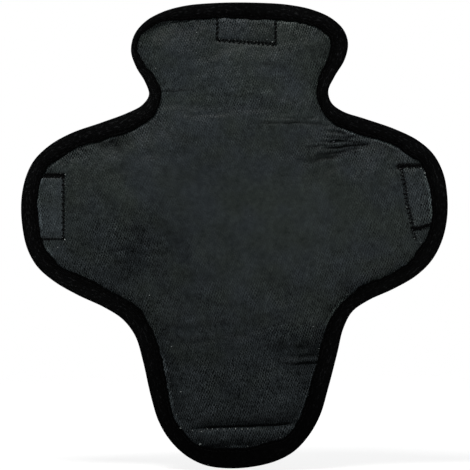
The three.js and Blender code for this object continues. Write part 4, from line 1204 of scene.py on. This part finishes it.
def face_stitches(line, pitch, length, slant, scale, jitter, offset, lift):
    """Stitches on the struck face along a line, left out under the binding."""
    stitches = []
    x, z, tangent = along_line(line, pitch)
    x, z = x - tangent[:, 1] * offset, z + tangent[:, 0] * offset
    inset, _, tape, along = rim_field(x, z)
    height = front_relief(x, z, inset, tape, along)
    for k in np.nonzero(inset > tape + 0.2)[0]:
        angle = slant + STITCH_RNG.uniform(-jitter, jitter)
        c, s = math.cos(angle), math.sin(angle)
        tx, tz = tangent[k]
        centre = (x[k] + STITCH_RNG.uniform(-0.1, 0.1), -(height[k] + lift),
                  z[k] + STITCH_RNG.uniform(-0.1, 0.1))
        stitches.append((centre, (tx * c - tz * s, 0, tx * s + tz * c), (0, -1, 0),
                         length * STITCH_RNG.uniform(0.9, 1.1), scale))
    return stitches


# mesh, CAD node and rows: line, spacing, length, slant in radians, thickness scale,
# random slant, offset to the left of the line, lift off the cloth
FACE_STITCHING = (
    ("top_box_stitches", "top_box_thread", (
        (TOP_LEFT, 3.8, 4.0, -0.55, 2.5, 0.08, 0, 0.5),
        (TOP_RIGHT, 3.8, 4.0, -0.55, 2.5, 0.08, 0, 0.5),
        (TOP_BOTTOM, 2.9, 2.6, 1.0, 2.0, 0.45, 0.3, 0.34),
        (TOP_BOTTOM, 3.7, 2.1, 0.5, 1.6, 0.5, -1.3, 0.34))),
    ("left_box_stitches", "left_box_thread", (
        (LEFT_TOP, 2.2, 2.9, 0.25, 2.2, 0.15, 0, 0.45),
        (LEFT_TOP, 2.4, 2.7, 0.15, 2.0, 0.15, 1.3, 0.45),
        (LEFT_TOP, 2.4, 2.7, 0.2, 2.0, 0.15, -1.2, 0.45),
        (LEFT_INNER, 3.0, 2.5, 0.55, 2.1, 0.4, 0, 0.34),
        (LEFT_INNER, 4.9, 1.6, 0.9, 1.3, 0.9, -1.1, 0.34),
        (LEFT_BOTTOM, 2.6, 2.7, 0.15, 2.0, 0.15, 0, 0.34))),
    ("right_box_stitches", "right_box_thread", (
        (RIGHT_TOP, 1.9, 2.6, 0.9, 1.9, 0.4, 0, 0.34),
        (RIGHT_TOP, 2.1, 2.3, 0.7, 1.8, 0.4, 1.6, 0.34),
        (RIGHT_TOP, 2.4, 2.2, -0.2, 1.5, 0.5, -1.2, 0.34),
        (RIGHT_INNER, 2.9, 2.4, 0.6, 2.0, 0.9, 0, 0.34),
        (RIGHT_INNER, 3.9, 1.9, 0.9, 1.7, 0.9, -1.7, 0.34),
        (RIGHT_BOTTOM, 2.0, 2.8, 0.25, 2.1, 0.15, 0, 0.45),
        (RIGHT_BOTTOM, 2.4, 2.4, 0.1, 1.8, 0.15, 1.3, 0.45))),
    ("lower_seam_stitches", "lower_seam_thread", (
        (LOWER_SEAM[1:5], 4.6, 3.2, 0.0, 1.0, 0.05, 0, 0.34),)))

for name, cad_node, rows in FACE_STITCHING:
    dress(stitch_mesh(name, sum((face_stitches(*row) for row in rows), [])),
          "thread", "shield", "thread", cad_node)

# ------------------------------------------------------------------ strips of webbing
STRAP_COS, STRAP_SIN = 0.9996086, 0.0279754     # slight tilt of the forearm strap in XZ
STRAP_MID_Z = 212.4
LOOP_MID_X = 9.6


def strap_world(u, y, w):
    """Forearm strap frame: u along the strap, w across it."""
    return np.stack([u * STRAP_COS - w * STRAP_SIN, y,
                     STRAP_MID_Z + u * STRAP_SIN + w * STRAP_COS], -1)


def loop_world(u, y, w):
    """Hand loop frame: u up the pad, w across the loop."""
    return np.stack([LOOP_MID_X - w, y, u], -1)


def resample(line, step):
    """Evenly spaced points on a smooth open line through the given ones, and their lengths."""
    points = np.array(line, float)
    ends = np.vstack([2 * points[0] - points[1], points, 2 * points[-1] - points[-2]])[:, None]
    dense = spline(ends[:-3], ends[1:-2], ends[2:-1], ends[3:], (np.arange(12) / 12)[:, None])
    dense = np.vstack([dense.reshape(-1, 2), points[-1]])
    run = run_lengths(dense)
    count = max(2, int(round(run[-1] / step)))
    at = np.linspace(0, run[-1], count + 1)
    return np.stack([np.interp(at, run, dense[:, 0]), np.interp(at, run, dense[:, 1])], 1), at


def line_normals(line):
    tangent = np.gradient(line, axis=0)
    tangent /= np.linalg.norm(tangent, axis=1)[:, None]
    return np.stack([-tangent[:, 1], tangent[:, 0]], 1)


def webbing(name, line, world, width=WEB_WIDTH, thickness=WEB_THICKNESS, step=WEB_STEP,
            start=0.0, wave=0.12, seed=1):
    """A woven strip along a (u, y) line, with rounded selvedges and closed ends."""
    points, along = resample(line, step)
    normals = line_normals(points)
    half = width / 2
    v = np.linspace(-1, 1, 26)
    # points crowd towards the selvedges
    top = half * np.sin(v * math.pi / 2 * 0.999) * 0.35 + half * v * 0.65
    from_edge = half - np.abs(top)
    edge = np.clip(from_edge / (thickness * 0.55), 0, 1)
    thick = (thickness / 2 * np.sqrt(np.clip(1 - (1 - edge) ** 2, 0, 1))
             * (1 + 0.10 * np.exp(-((from_edge - 1.6) / 1.0) ** 2)))
    across = np.concatenate([top, top[::-1][1:-1]])
    raised = np.concatenate([thick, -thick[::-1][1:-1]])
    sides, rings = len(across), len(points)
    noise = NOISE[seed]
    verts, uv = [], []
    for k, ((u, y), (nu, ny), s) in enumerate(zip(points, normals, along)):
        shift = wave * noise(s / 21.0 + seed, seed * 1.7)
        curl = wave * 1.2 * noise(s / 26.0 + 9 + seed, across / 22.0)
        off = raised + curl * (0.6 if k not in (0, rings - 1) else 0)
        verts.append(world(u + nu * off, y + ny * off, across + shift))
        uv.append(np.stack([np.full(sides, s + start), across], 1))
    ob = new_solid(name, np.concatenate(verts),
                   tube_faces(rings, sides) + end_caps(rings, sides))
    vertex_uv(ob, np.concatenate(uv))
    return ob


# ------------------------------------------------------------------ forearm strap and ring
# mid-line of the strap from its left anchor towards the ring: u, y
STRAP_LINE = [
    [-152.5, 5.0], [-146.47, 5.43], [-140.51, 6.26], [-134.89, 8.57], [-129.06, 10.17],
    [-123.54, 12.62], [-118.37, 15.76], [-113.37, 19.16], [-108.62, 22.91], [-103.95, 26.77],
    [-99.17, 30.48], [-94.17, 33.89], [-89.1, 37.18], [-83.92, 40.32], [-78.64, 43.27],
    [-73.21, 45.95], [-67.65, 48.33], [-61.98, 50.45], [-56.23, 52.33], [-50.41, 54.0],
    [-44.54, 55.44], [-38.61, 56.67], [-32.64, 57.68], [-26.64, 58.46], [-20.62, 59.03],
    [-14.58, 59.38], [-8.53, 59.51], [-2.48, 59.41], [3.57, 59.08], [9.6, 58.55], [15.6, 57.82],
    [21.62, 56.87], [27.51, 55.69], [33.39, 54.26], [39.2, 52.58], [44.95, 50.69], [50.63, 48.6],
    [56.22, 46.28], [61.72, 43.75], [67.15, 41.08], [72.55, 38.32], [77.85, 35.43], [83.09, 32.4],
    [88.28, 29.28], [93.43, 26.11], [98.51, 22.81], [103.56, 19.47]]
RING_SLOPE = math.radians(30)
ALONG = np.array([math.cos(RING_SLOPE), -math.sin(RING_SLOPE)])     # across the ring, down slope
OUT = np.array([math.sin(RING_SLOPE), math.cos(RING_SLOPE)])        # square to the ring
RING_MID = np.array([118.0, 16.4])
RING_HALF = 8.0                                 # from the middle to each bar
RING_INNER_LENGTH, RING_WIRE, RING_CORNER = 53, 1.8, 5.0            # wire and corner radii
STRAP_BAR, TAB_BAR = RING_MID - RING_HALF * ALONG, RING_MID + RING_HALF * ALONG
BEND_R, TAB_R = 4.65, 3.35                      # webbing mid-line round each bar
TAIL_START, TAIL_END = 3.15, 82                 # strap lengths from the ring
TAIL_AT_RING, TAIL_FLAT = 9.3, 5.2              # tail mid-line above the strap's
PATCH_LIFT = 1.85                               # patch mid-line off the webbing's
WRAP_R = 1.7


def arc(centre, radius, start, end, steps):
    t = np.linspace(start, end, steps + 1)
    return np.stack([centre[0] + radius * np.cos(t), centre[1] + radius * np.sin(t)], 1)


def raised_line(line, by):
    return [[u, y + by] for u, y in line]


strap_line, _ = resample(STRAP_LINE + [list(STRAP_BAR - BEND_R * OUT)], 2.0)
FROM_RING = strap_line[::-1]
FROM_RING_RUN = run_lengths(FROM_RING)
FROM_RING_UP = -line_normals(FROM_RING)


def above_strap(s, height):
    """The (u, y) point at a height above the strap's mid-line, s along it from the ring."""
    return np.stack([np.interp(s, FROM_RING_RUN, FROM_RING[:, k])
                     + np.interp(s, FROM_RING_RUN, FROM_RING_UP[:, k]) * height
                     for k in (0, 1)], -1)


def tail_height(s):
    """The tail comes down from the ring onto the strap over 24 mm."""
    t = np.clip((np.asarray(s, float) - 4) / 24, 0, 1)
    return TAIL_AT_RING + (TAIL_FLAT - TAIL_AT_RING) * t * t * (3 - 2 * t)


def tail_line(s):
    return above_strap(s, tail_height(s))


out_angle = math.atan2(OUT[1], OUT[0])
strap_path = np.vstack([strap_line,
                        arc(STRAP_BAR, BEND_R, out_angle - math.pi, out_angle, 14)[1:-1],
                        tail_line(np.array([0.0, 1.5, TAIL_START]))])
dress(webbing("forearm_strap_webbing", strap_path, strap_world),
      "web", "shield", "webbing", "forearm_strap")

strap_length = resample(strap_path, WEB_STEP)[1][-1]    # so the weave runs on into the tail
tail = webbing("strap_tail_webbing", tail_line(np.linspace(TAIL_START, TAIL_END, 54)),
               strap_world, start=strap_length, wave=0.05)
dress(tail, "web", None, "webbing", "strap_tail")
dress(webbing("loop_patch_pile", above_strap(np.linspace(24, 112, 60), PATCH_LIFT), strap_world,
              width=47, thickness=1.3, seed=2, wave=0.05),
      "loop", "shield", "loop_pile", "strap_loop_patch")
dress(webbing("hook_patch_tape", above_strap(np.linspace(30, 68, 28), TAIL_FLAT - PATCH_LIFT),
              strap_world, width=47, thickness=1.2, seed=3, wave=0.04),
      "hook", "tail", "hook_tape", "tail_hook_patch")


def tail_end_line():
    """The tape folded round the tail's end."""
    tip = above_strap(82.4, TAIL_FLAT)
    ahead = tip - above_strap(80.4, TAIL_FLAT)
    angle = math.atan2(ahead[1], ahead[0])
    s = np.linspace(71, TAIL_END, 8)
    return np.vstack([above_strap(s, TAIL_FLAT - WRAP_R),
                      arc(tip, WRAP_R, angle + math.pi / 2, angle - math.pi / 2, 8)[1:-1],
                      above_strap(s, TAIL_FLAT + WRAP_R)[::-1]])


dress(webbing("tail_end_tape", tail_end_line(), strap_world, width=51, thickness=0.8, step=0.8,
              seed=4, wave=0.05),
      "end_tape", "tail", "binding_tape", "tail_end_binding")

# tab round the ring's right bar, sewn down as two plies: u, y
TAB_LOWER = [[152, 5.1], [148, 5.35], [144, 5.9], [140, 6.7], [136, 7.5]]
TAB_UPPER = raised_line(TAB_LOWER, 2.3)
tab_path = (TAB_LOWER + [[131, 8.75], [127.6, 8.8]]
            + arc(TAB_BAR, TAB_R, -math.pi / 2 - 0.12, -math.pi * 1.5 - 0.5, 14).tolist()
            + [[131.5, 13.6], [137.5, 10.6]] + TAB_UPPER[::-1][1:])
dress(webbing("ring_tab_webbing", tab_path, strap_world, step=1.0, seed=5, wave=0.04),
      "web", "shield", "webbing", "ring_tab")


def ring_wire():
    """A rounded rectangle of wire, slightly swollen midway along the tab's bar."""
    x_centre = RING_HALF - RING_CORNER
    z_centre = RING_INNER_LENGTH / 2 + RING_WIRE - RING_CORNER
    path = []
    for cx, cz, start in ((x_centre, z_centre, 0), (-x_centre, z_centre, 90),
                          (-x_centre, -z_centre, 180), (x_centre, -z_centre, 270)):
        for k in range(13):
            a = math.radians(start + 7.5 * k)
            c, s = math.cos(a), math.sin(a)
            path.append((cx + RING_CORNER * c, cz + RING_CORNER * s, c, s))
    dense = []
    for a, b in zip(path, path[1:] + path[:1]):
        count = max(1, int(math.hypot(b[0] - a[0], b[1] - a[1]) / 1.5))
        dense += [tuple(a[i] + (b[i] - a[i]) * j / count for i in range(4)) for j in range(count)]
    sides = 20
    verts = []
    for px, pz, nx, nz in dense:
        length = math.hypot(nx, nz)
        nx, nz = nx / length, nz / length
        radius = RING_WIRE * (1 + 0.10 * math.exp(-((pz / 2.2) ** 2)) * (px > 0))
        for i in range(sides):
            a = 2 * math.pi * i / sides
            reach = radius * math.cos(a)
            point = RING_MID + (px + nx * reach) * ALONG + radius * math.sin(a) * OUT
            verts.append(strap_world(*point, pz + nz * reach))
    return new_solid("strap_ring_wire", verts, tube_faces(len(dense), sides, closed=True))


dress(ring_wire(), "metal", "ring", "ring_metal", "strap_ring")

# ------------------------------------------------------------------ hand loop
# mid-line from the anchor down along the pad and back up: u, y
LOOP_LINE = [
    [338.3, 7.19], [333.88, 7.73], [329.44, 8.15], [324.99, 8.37], [320.54, 8.5], [316.1, 8.62],
    [311.63, 8.72], [307.17, 8.8], [302.71, 8.87], [298.26, 8.96], [293.8, 9.06], [289.35, 9.17],
    [284.89, 9.31], [280.44, 9.47], [275.99, 9.61], [271.54, 9.86], [267.11, 10.37],
    [262.7, 10.98], [258.4, 12.14], [254.82, 14.74], [252.25, 18.36], [251.39, 22.67],
    [252.5, 26.97], [254.78, 30.78], [258.04, 33.81], [261.63, 36.44], [265.43, 38.76],
    [269.47, 40.64], [273.71, 42.03], [278.06, 42.99], [282.49, 43.42], [286.93, 43.12],
    [291.28, 42.19], [295.52, 40.81], [299.61, 39.04], [303.47, 36.82], [307.15, 34.3],
    [310.76, 31.68], [314.29, 28.97], [317.71, 26.11], [321.08, 23.19], [324.44, 20.28],
    [327.78, 17.32], [331.11, 14.3], [334.24, 11.19], [338.3, 9.49]]
ANCHOR_LOWER = [[357, 4.95], [352, 5.15], [347, 6.0], [343, 6.75], [338.45, 7.15]]
ANCHOR_UPPER = raised_line(ANCHOR_LOWER, 2.25)

hand_loop = webbing("hand_loop_webbing", LOOP_LINE, loop_world, seed=6, wave=0.10)
dress(hand_loop, "web", None, "webbing", "hand_loop")
dress(webbing("hand_loop_anchor_lower", ANCHOR_LOWER, loop_world, seed=6, wave=0.02),
      "web", "shield", "webbing", "hand_loop_anchor")
dress(webbing("hand_loop_anchor_upper", ANCHOR_UPPER, loop_world, seed=7, wave=0.02),
      "web", "shield", "webbing")


def grip_sleeve():
    """Padded sleeve round the outer leg of the hand loop, open at both ends."""
    leg, along = resample(LOOP_LINE[25:36], 0.8)
    leg = leg[np.searchsorted(along, 3.5):np.searchsorted(along, 33.5)]
    normals = line_normals(leg)
    half_width, half_height = WEB_WIDTH / 2 + 0.45, 1.3
    rings, sides = len(leg), 72
    verts, uv = [], []
    for padded in (1, 0):                       # outer shell, then inner
        for k in range(rings):
            f = k / (rings - 1)
            puff = math.sin(math.pi * f) ** 0.35
            wall = (0.5 + 1.9 * puff) * padded
            quilt = 0.22 * math.cos(2 * math.pi * f * 4) * puff * padded
            for i in range(sides):
                t = 2 * math.pi * i / sides
                c, s = math.cos(t), math.sin(t)
                w = (half_width + wall) * np.sign(c) * abs(c) ** 0.22
                height = (half_height + wall + quilt) * np.sign(s) * abs(s) ** 0.55
                verts.append(loop_world(*(leg[k] + normals[k] * height), w))
                uv.append((f * 30, t * 9))
    inner = rings * sides                       # first vertex of the inner shell
    faces = []
    for a, b, c, d in tube_faces(rings, sides):
        faces += [(a, b, c, d), (inner + a, inner + d, inner + c, inner + b)]
    for k in (0, rings - 1):
        for i in range(sides):
            a, b = k * sides + i, k * sides + (i + 1) % sides
            rim = (a, b, inner + b, inner + a)
            faces.append(rim[::-1] if k == 0 else rim)
    ob = new_solid("grip_sleeve_cloth", verts, faces)
    vertex_uv(ob, uv)
    return ob


dress(grip_sleeve(), "sleeve", "loop", "sleeve_cloth", "grip_sleeve")


# ------------------------------------------------------------------ stitching on the webbing
def on_top(line):
    """Places on top of a strip: (u, y), half a millimetre along, half a millimetre up."""
    points = np.array(line)
    points = points[np.argsort(points[:, 0])]

    def place(u):
        low, mid, high = np.interp((u - 0.5, u, u + 0.5), points[:, 0], points[:, 1]) + 1.12
        slope = high - low
        return np.array([u, mid]), np.array([0.5, slope * 0.5]), np.array([-slope * 0.5, 0.5])
    return place


def over_strap(height):
    """The same along the strap from the ring, at height(s) above its mid-line."""
    def place(s):
        point = above_strap(s, height(s))
        return (point, above_strap(s + 0.5, height(s + 0.5)) - point,
                above_strap(s, height(s) + 0.5) - point)
    return place


def strip_stitches(line, place, world, pitch, length, scale=1.0):
    """Stitches along a line of (u, w) on a strip."""
    stitches = []
    for u, w, (du, dw) in zip(*along_line(line, pitch)):
        point, step, up = place(u)
        centre = world(*point, w)
        stitches.append((centre, world(*(point + step * du), w + dw * 0.5) - centre,
                         world(*(point + up), w) - centre, length, scale))
    return stitches


def box_sides(u0, u1, half):
    corners = [(u0, -half), (u1, -half), (u1, half), (u0, half)]
    return [[a, b] for a, b in zip(corners, corners[1:] + corners[:1])]


# crossed boxes: mesh, mid-line under the stitches, frame, u from and to
for name, line, world_of, u0, u1 in (
        ("strap_anchor_stitches", STRAP_LINE[:12], strap_world, -149.5, -136.5),
        ("tab_anchor_stitches", TAB_UPPER, strap_world, 138.0, 150.0),
        ("loop_anchor_stitches", ANCHOR_UPPER, loop_world, 341.5, 355.0)):
    lines = box_sides(u0, u1, 22) + [[(u0, -22), (u1, 22)], [(u0, 22), (u1, -22)]]
    rows = [strip_stitches(row, on_top(line), world_of, pitch=3.2, length=2.5, scale=1.1)
            for row in lines]
    dress(stitch_mesh(name, sum(rows, []), 0.36), "back_thread", "shield", "thread")

# plain boxes round the patches, and one row across the tail's end: line, place
TAIL_ROWS = [(row, over_strap(lambda s: tail_height(s) + 1.10)) for row in box_sides(31.5, 66.5, 22)]
TAIL_ROWS += [([(74.0, -24), (74.0, 24)], over_strap(lambda s: tail_height(s) + 2.2))]
PILE_ROWS = [(row, over_strap(lambda s: 2.55)) for row in box_sides(25.5, 110.5, 22.3)]
for name, body, radius, lines in (("tail_stitches", "tail", 0.34, TAIL_ROWS),
                                  ("loop_patch_stitches", "shield", 0.32, PILE_ROWS)):
    rows = [strip_stitches(row, place, strap_world, pitch=3.1, length=2.4)
            for row, place in lines]
    dress(stitch_mesh(name, sum(rows, []), radius), "back_thread", body, "thread")

# ------------------------------------------------------------------ thread ends and lint
# pale thread ends on the struck face: X, Z and size
THREAD_ENDS = (
    # right box
    (151.8, 235.5, 1.2), (152.1, 232.6, 1.0), (158.2, 197.6, 1.3), (160.4, 196.3, 0.8),
    (157.4, 193.8, 1.2), (140.2, 196.6, 0.8), (144.1, 195.0, 0.6), (143.3, 183.8, 1.1),
    (137.4, 208.5, 0.9), (135.9, 214.8, 0.9), (143.3, 239.4, 0.8), (148.9, 239.5, 1.1),
    (138.0, 239.4, 0.8), (142.0, 190.4, 0.7),
    # left box
    (-134.6, 234.4, 0.9), (-134.7, 226.8, 0.8), (-134.8, 182.7, 1.2), (-140.6, 176.4, 0.9),
    (-152.6, 235.4, 0.8), (-155.6, 228.9, 0.8), (-158.0, 208.3, 1.0), (-158.2, 205.2, 0.8),
    (-157.5, 197.5, 1.0), (-157.0, 195.4, 0.9), (-151.6, 170.9, 0.9),
    # top box
    (30.4, 340.0, 1.1), (26.0, 341.8, 0.7), (-29.8, 347.6, 0.8), (37.2, 353.4, 0.8),
    (45.0, 352.6, 0.7),
    # lower seam
    (-21.5, 31.8, 0.75), (-17.4, 31.7, 0.85), (-13.1, 31.6, 0.9), (-8.1, 31.7, 0.95),
    (-3.6, 31.9, 0.85), (1.2, 32.0, 1.1), (6.3, 31.9, 0.8), (10.8, 32.0, 0.95), (15.6, 32.1, 0.8),
    (-26.0, 29.8, 0.8), (-33.5, 30.6, 0.7), (-42.8, 32.4, 1.2), (-46.0, 43.1, 1.0),
    (-27.2, 19.4, 1.4), (-19.1, 14.0, 0.8), (-22.0, 15.4, 0.8), (42.6, 25.6, 0.6),
    (53.8, 36.0, 0.6),
    # scattered
    (-67.4, 138.3, 0.8), (-49.8, 97.5, 0.9), (-42.6, 61.5, 0.8), (-43.4, 32.6, 0.7),
    (63.0, 113.5, 0.7), (72.6, 107.9, 0.9), (83.7, 127.1, 0.9), (160.5, 196.7, 0.6),
    (59.8, 351.9, 0.8), (-62.6, 319.1, 0.7), (86.4, 124.4, 0.8), (88.9, 121.2, 0.7))
# lint clusters: centre X and Z, spread X and Z, count
LINT_CLUSTERS = (
    (85, 124, 6, 6, 10), (-50, 42, 4, 14, 10), (-95, 98, 5, 5, 4), (10, 305, 60, 30, 8),
    (95, 180, 40, 40, 8), (-30, 110, 40, 30, 8), (58, 60, 5, 20, 22), (-54, 60, 4, 20, 12),
    (-40, 24, 10, 6, 8), (40, 22, 10, 6, 8), (10, 299, 48, 7, 16))
# lint beside the stitched lines: line, spacing, size
LINT_LINES = ((TOP_BOTTOM, 2.6, 0.62), (TOP_LEFT, 4.2, 0.5), (TOP_RIGHT, 4.2, 0.5),
              (LEFT_INNER, 3.4, 0.6), (LEFT_TOP, 4.5, 0.55), (RIGHT_TOP, 2.6, 0.7),
              (RIGHT_INNER, 2.2, 0.62), (RIGHT_BOTTOM, 3.0, 0.7))
RIM_LINT = 95


def lint_spots(rng):
    """Every speck as (point, size, is a thread end)."""
    spots = [(np.array([x, z]), size, True) for x, z, size in THREAD_ENDS]
    for _ in range(RIM_LINT):
        i = rng.randint(len(RIM_POINT))
        point = RIM_POINT[i] + RIM_INWARD[i] * (RIM_TAPE[i] + 0.5 + abs(rng.normal(0, 1.1)))
        spots.append((point, rng.uniform(0.35, 0.75), False))
    for x, z, spread_x, spread_z, count in LINT_CLUSTERS:
        for _ in range(count):
            point = np.array([x + rng.normal(0, spread_x), z + rng.normal(0, spread_z)])
            spots.append((point, rng.uniform(0.3, 0.6), False))
    for line, spacing, size in LINT_LINES:
        for x, z, (tx, tz) in zip(*along_line(line, spacing)):
            off = rng.choice((-1, 1)) * rng.uniform(0.7, 1.9)
            point = np.array([x - tz * off + rng.normal(0, 0.5), z + tx * off])
            spots.append((point, size * rng.uniform(0.9, 1.5), False))
    return spots


def lint_specks():
    """Small bowed grains lying on the struck face."""
    verts, faces = [], []
    rng = np.random.RandomState(21)
    spots = lint_spots(rng)
    x, z = np.array([point for point, _, _ in spots]).T
    insets, _, tapes, along = rim_field(x, z)
    heights = front_relief(x, z, insets, tapes, along)
    up = np.array([0, -1, 0])
    for (point, size, thread_end), inset, tape, height in zip(spots, insets, tapes, heights):
        if inset < tape + (-0.6 if thread_end else 0.4):
            continue
        a = rng.uniform(0, math.pi)
        half_length, radius = ((0.62 * size, 0.46 * size) if thread_end
                               else (0.5 * size, 0.18 * size))
        tangent = np.array([math.cos(a), 0, math.sin(a)])
        across = np.array([-math.sin(a), 0, math.cos(a)])
        # specks at the tape's edge lie on top of it
        floor = 3.6 if inset < tape + 0.3 else 0
        centre = np.array([point[0], -(max(height, floor) + 0.15), point[1]])
        faces += tube_faces(4, 6, len(verts)) + end_caps(4, 6, len(verts))
        for f in (-1, -0.4, 0.4, 1):
            size_here = radius * (0.45 if abs(f) == 1 else 1.0)
            bow = across * 0.2 * half_length * (1 - f * f)
            for i in range(6):
                g = math.pi / 3 * i + 0.4
                verts.append(centre + tangent * f * half_length + bow
                             + (across * math.cos(g) + up * math.sin(g)) * size_here)
    return new_solid("lint_specks", verts, faces)


dress(lint_specks(), "lint", "shield", "lining")


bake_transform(tail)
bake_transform(hand_loop)

# any CAD node still showing gets a finish too
for cad_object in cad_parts.values():
    if not cad_object.hide_render:
        cad_object.data.materials.clear()
        cad_object.data.materials.append(MATERIALS["web"])


# ------------------------------------------------------------------ stage, in metres but the floor
def floor_material():
    """White floor, mostly glowing to the camera and fading out with distance."""
    material = bpy.data.materials.new("floor")
    nodes = Nodes(material)
    output = nodes.node("ShaderNodeOutputMaterial")
    diffuse = nodes.node("ShaderNodeBsdfDiffuse", {"Color": (0.80, 0.80, 0.80, 1)})
    glow = nodes.node("ShaderNodeEmission", {"Color": (1, 1, 1, 1), "Strength": 0.97})
    clear = nodes.node("ShaderNodeBsdfTransparent")
    camera_ray = nodes.node("ShaderNodeLightPath").outputs["Is Camera Ray"]
    white = nodes.mix_shader(nodes.mul(camera_ray, 0.80), diffuse.outputs[0], glow.outputs[0])
    position = nodes.node("ShaderNodeNewGeometry").outputs["Position"]
    away = nodes.node("ShaderNodeVectorMath", {0: position}, operation="LENGTH").outputs["Value"]
    fade = nodes.node("ShaderNodeMapRange", {"From Min": 0.45, "From Max": 1.45, "Value": away})
    nodes.feed(output.inputs[0], nodes.mix_shader(fade.outputs[0], white, clear.outputs[0]))
    return material


def studio_floor():
    """A disc just below the pad."""
    rings, sides, radius, centre_y, level = 24, 96, 1600, 80, -1.5
    verts = [(0, centre_y, level)]
    for k in range(1, rings + 1):
        r = radius * (k / rings)
        for i in range(sides):
            a = 2 * math.pi * i / sides
            verts.append((r * math.cos(a), centre_y + r * math.sin(a), level))
    faces = [(0, 1 + i, 1 + (i + 1) % sides) for i in range(sides)]
    faces += [(a, d, c, b) for a, b, c, d in tube_faces(rings, sides, start=1)]
    ob = new_mesh("studio_floor", verts, faces)
    ob.data.materials.append(floor_material())


def studio_world():
    """White to the camera, a dim cool light to everything else."""
    world = bpy.data.worlds.new("studio")
    bpy.context.scene.world = world
    nodes = Nodes(world)
    output = nodes.node("ShaderNodeOutputWorld")
    seen = nodes.node("ShaderNodeBackground", {"Color": (1, 1, 1, 1), "Strength": 1.0})
    lit = nodes.node("ShaderNodeBackground", {"Color": (0.95, 0.98, 1.0, 1), "Strength": 0.34})
    camera_ray = nodes.node("ShaderNodeLightPath").outputs["Is Camera Ray"]
    nodes.feed(output.inputs[0],
               nodes.mix_shader(camera_ray, lit.outputs[0], seen.outputs[0]))


def area_light(name, location, size, power, colour=(1, 1, 1)):
    """A rectangular light aimed at the middle of the pad."""
    light = bpy.data.lights.new(name, "AREA")
    light.shape = "RECTANGLE"
    light.size, light.size_y = size
    light.energy = power
    light.color = colour
    ob = bpy.data.objects.new(name, light)
    ob.location = location
    ob.rotation_mode = "QUATERNION"
    ob.rotation_quaternion = (Vector((0, 0, 0.2)) - Vector(location)).to_track_quat("-Z", "Y")
    bpy.context.scene.collection.objects.link(ob)


def front_camera(field=0.3744, lens=200, sensor=36):
    """A long lens looking along +Y, with the field's width at the rim plane less 4 mm."""
    data = bpy.data.cameras.new("camera")
    data.lens = lens
    data.sensor_width = sensor
    data.clip_start, data.clip_end = 0.01, 50
    camera = bpy.data.objects.new("camera", data)
    bpy.context.scene.collection.objects.link(camera)
    distance = field / 2 / math.tan(math.atan(sensor / 2 / lens))
    camera.location = (0.00055, SET_BACK * MM - distance - 0.004, 0.1863)
    camera.rotation_mode = "QUATERNION"
    camera.rotation_quaternion = Vector((0, 1, 0)).to_track_quat("-Z", "Y")
    bpy.context.scene.camera = camera


studio_floor()
studio_world()
area_light("key", location=(-0.35, -0.85, 1.75), size=(0.6, 0.45), power=42,
           colour=(1.0, 0.99, 0.97))
area_light("fill", location=(1.1, -1.3, 0.7), size=(1.1, 0.9), power=5, colour=(0.95, 0.98, 1.0))
area_light("back_key", location=(0.7, 1.3, 1.3), size=(0.9, 0.7), power=22)
area_light("back_fill", location=(-1.2, 1.0, 0.6), size=(0.9, 0.9), power=10)
front_camera()
view = bpy.context.scene.view_settings
view.view_transform = "Standard"
view.look = "None"
view.exposure = 0
view.gamma = 1
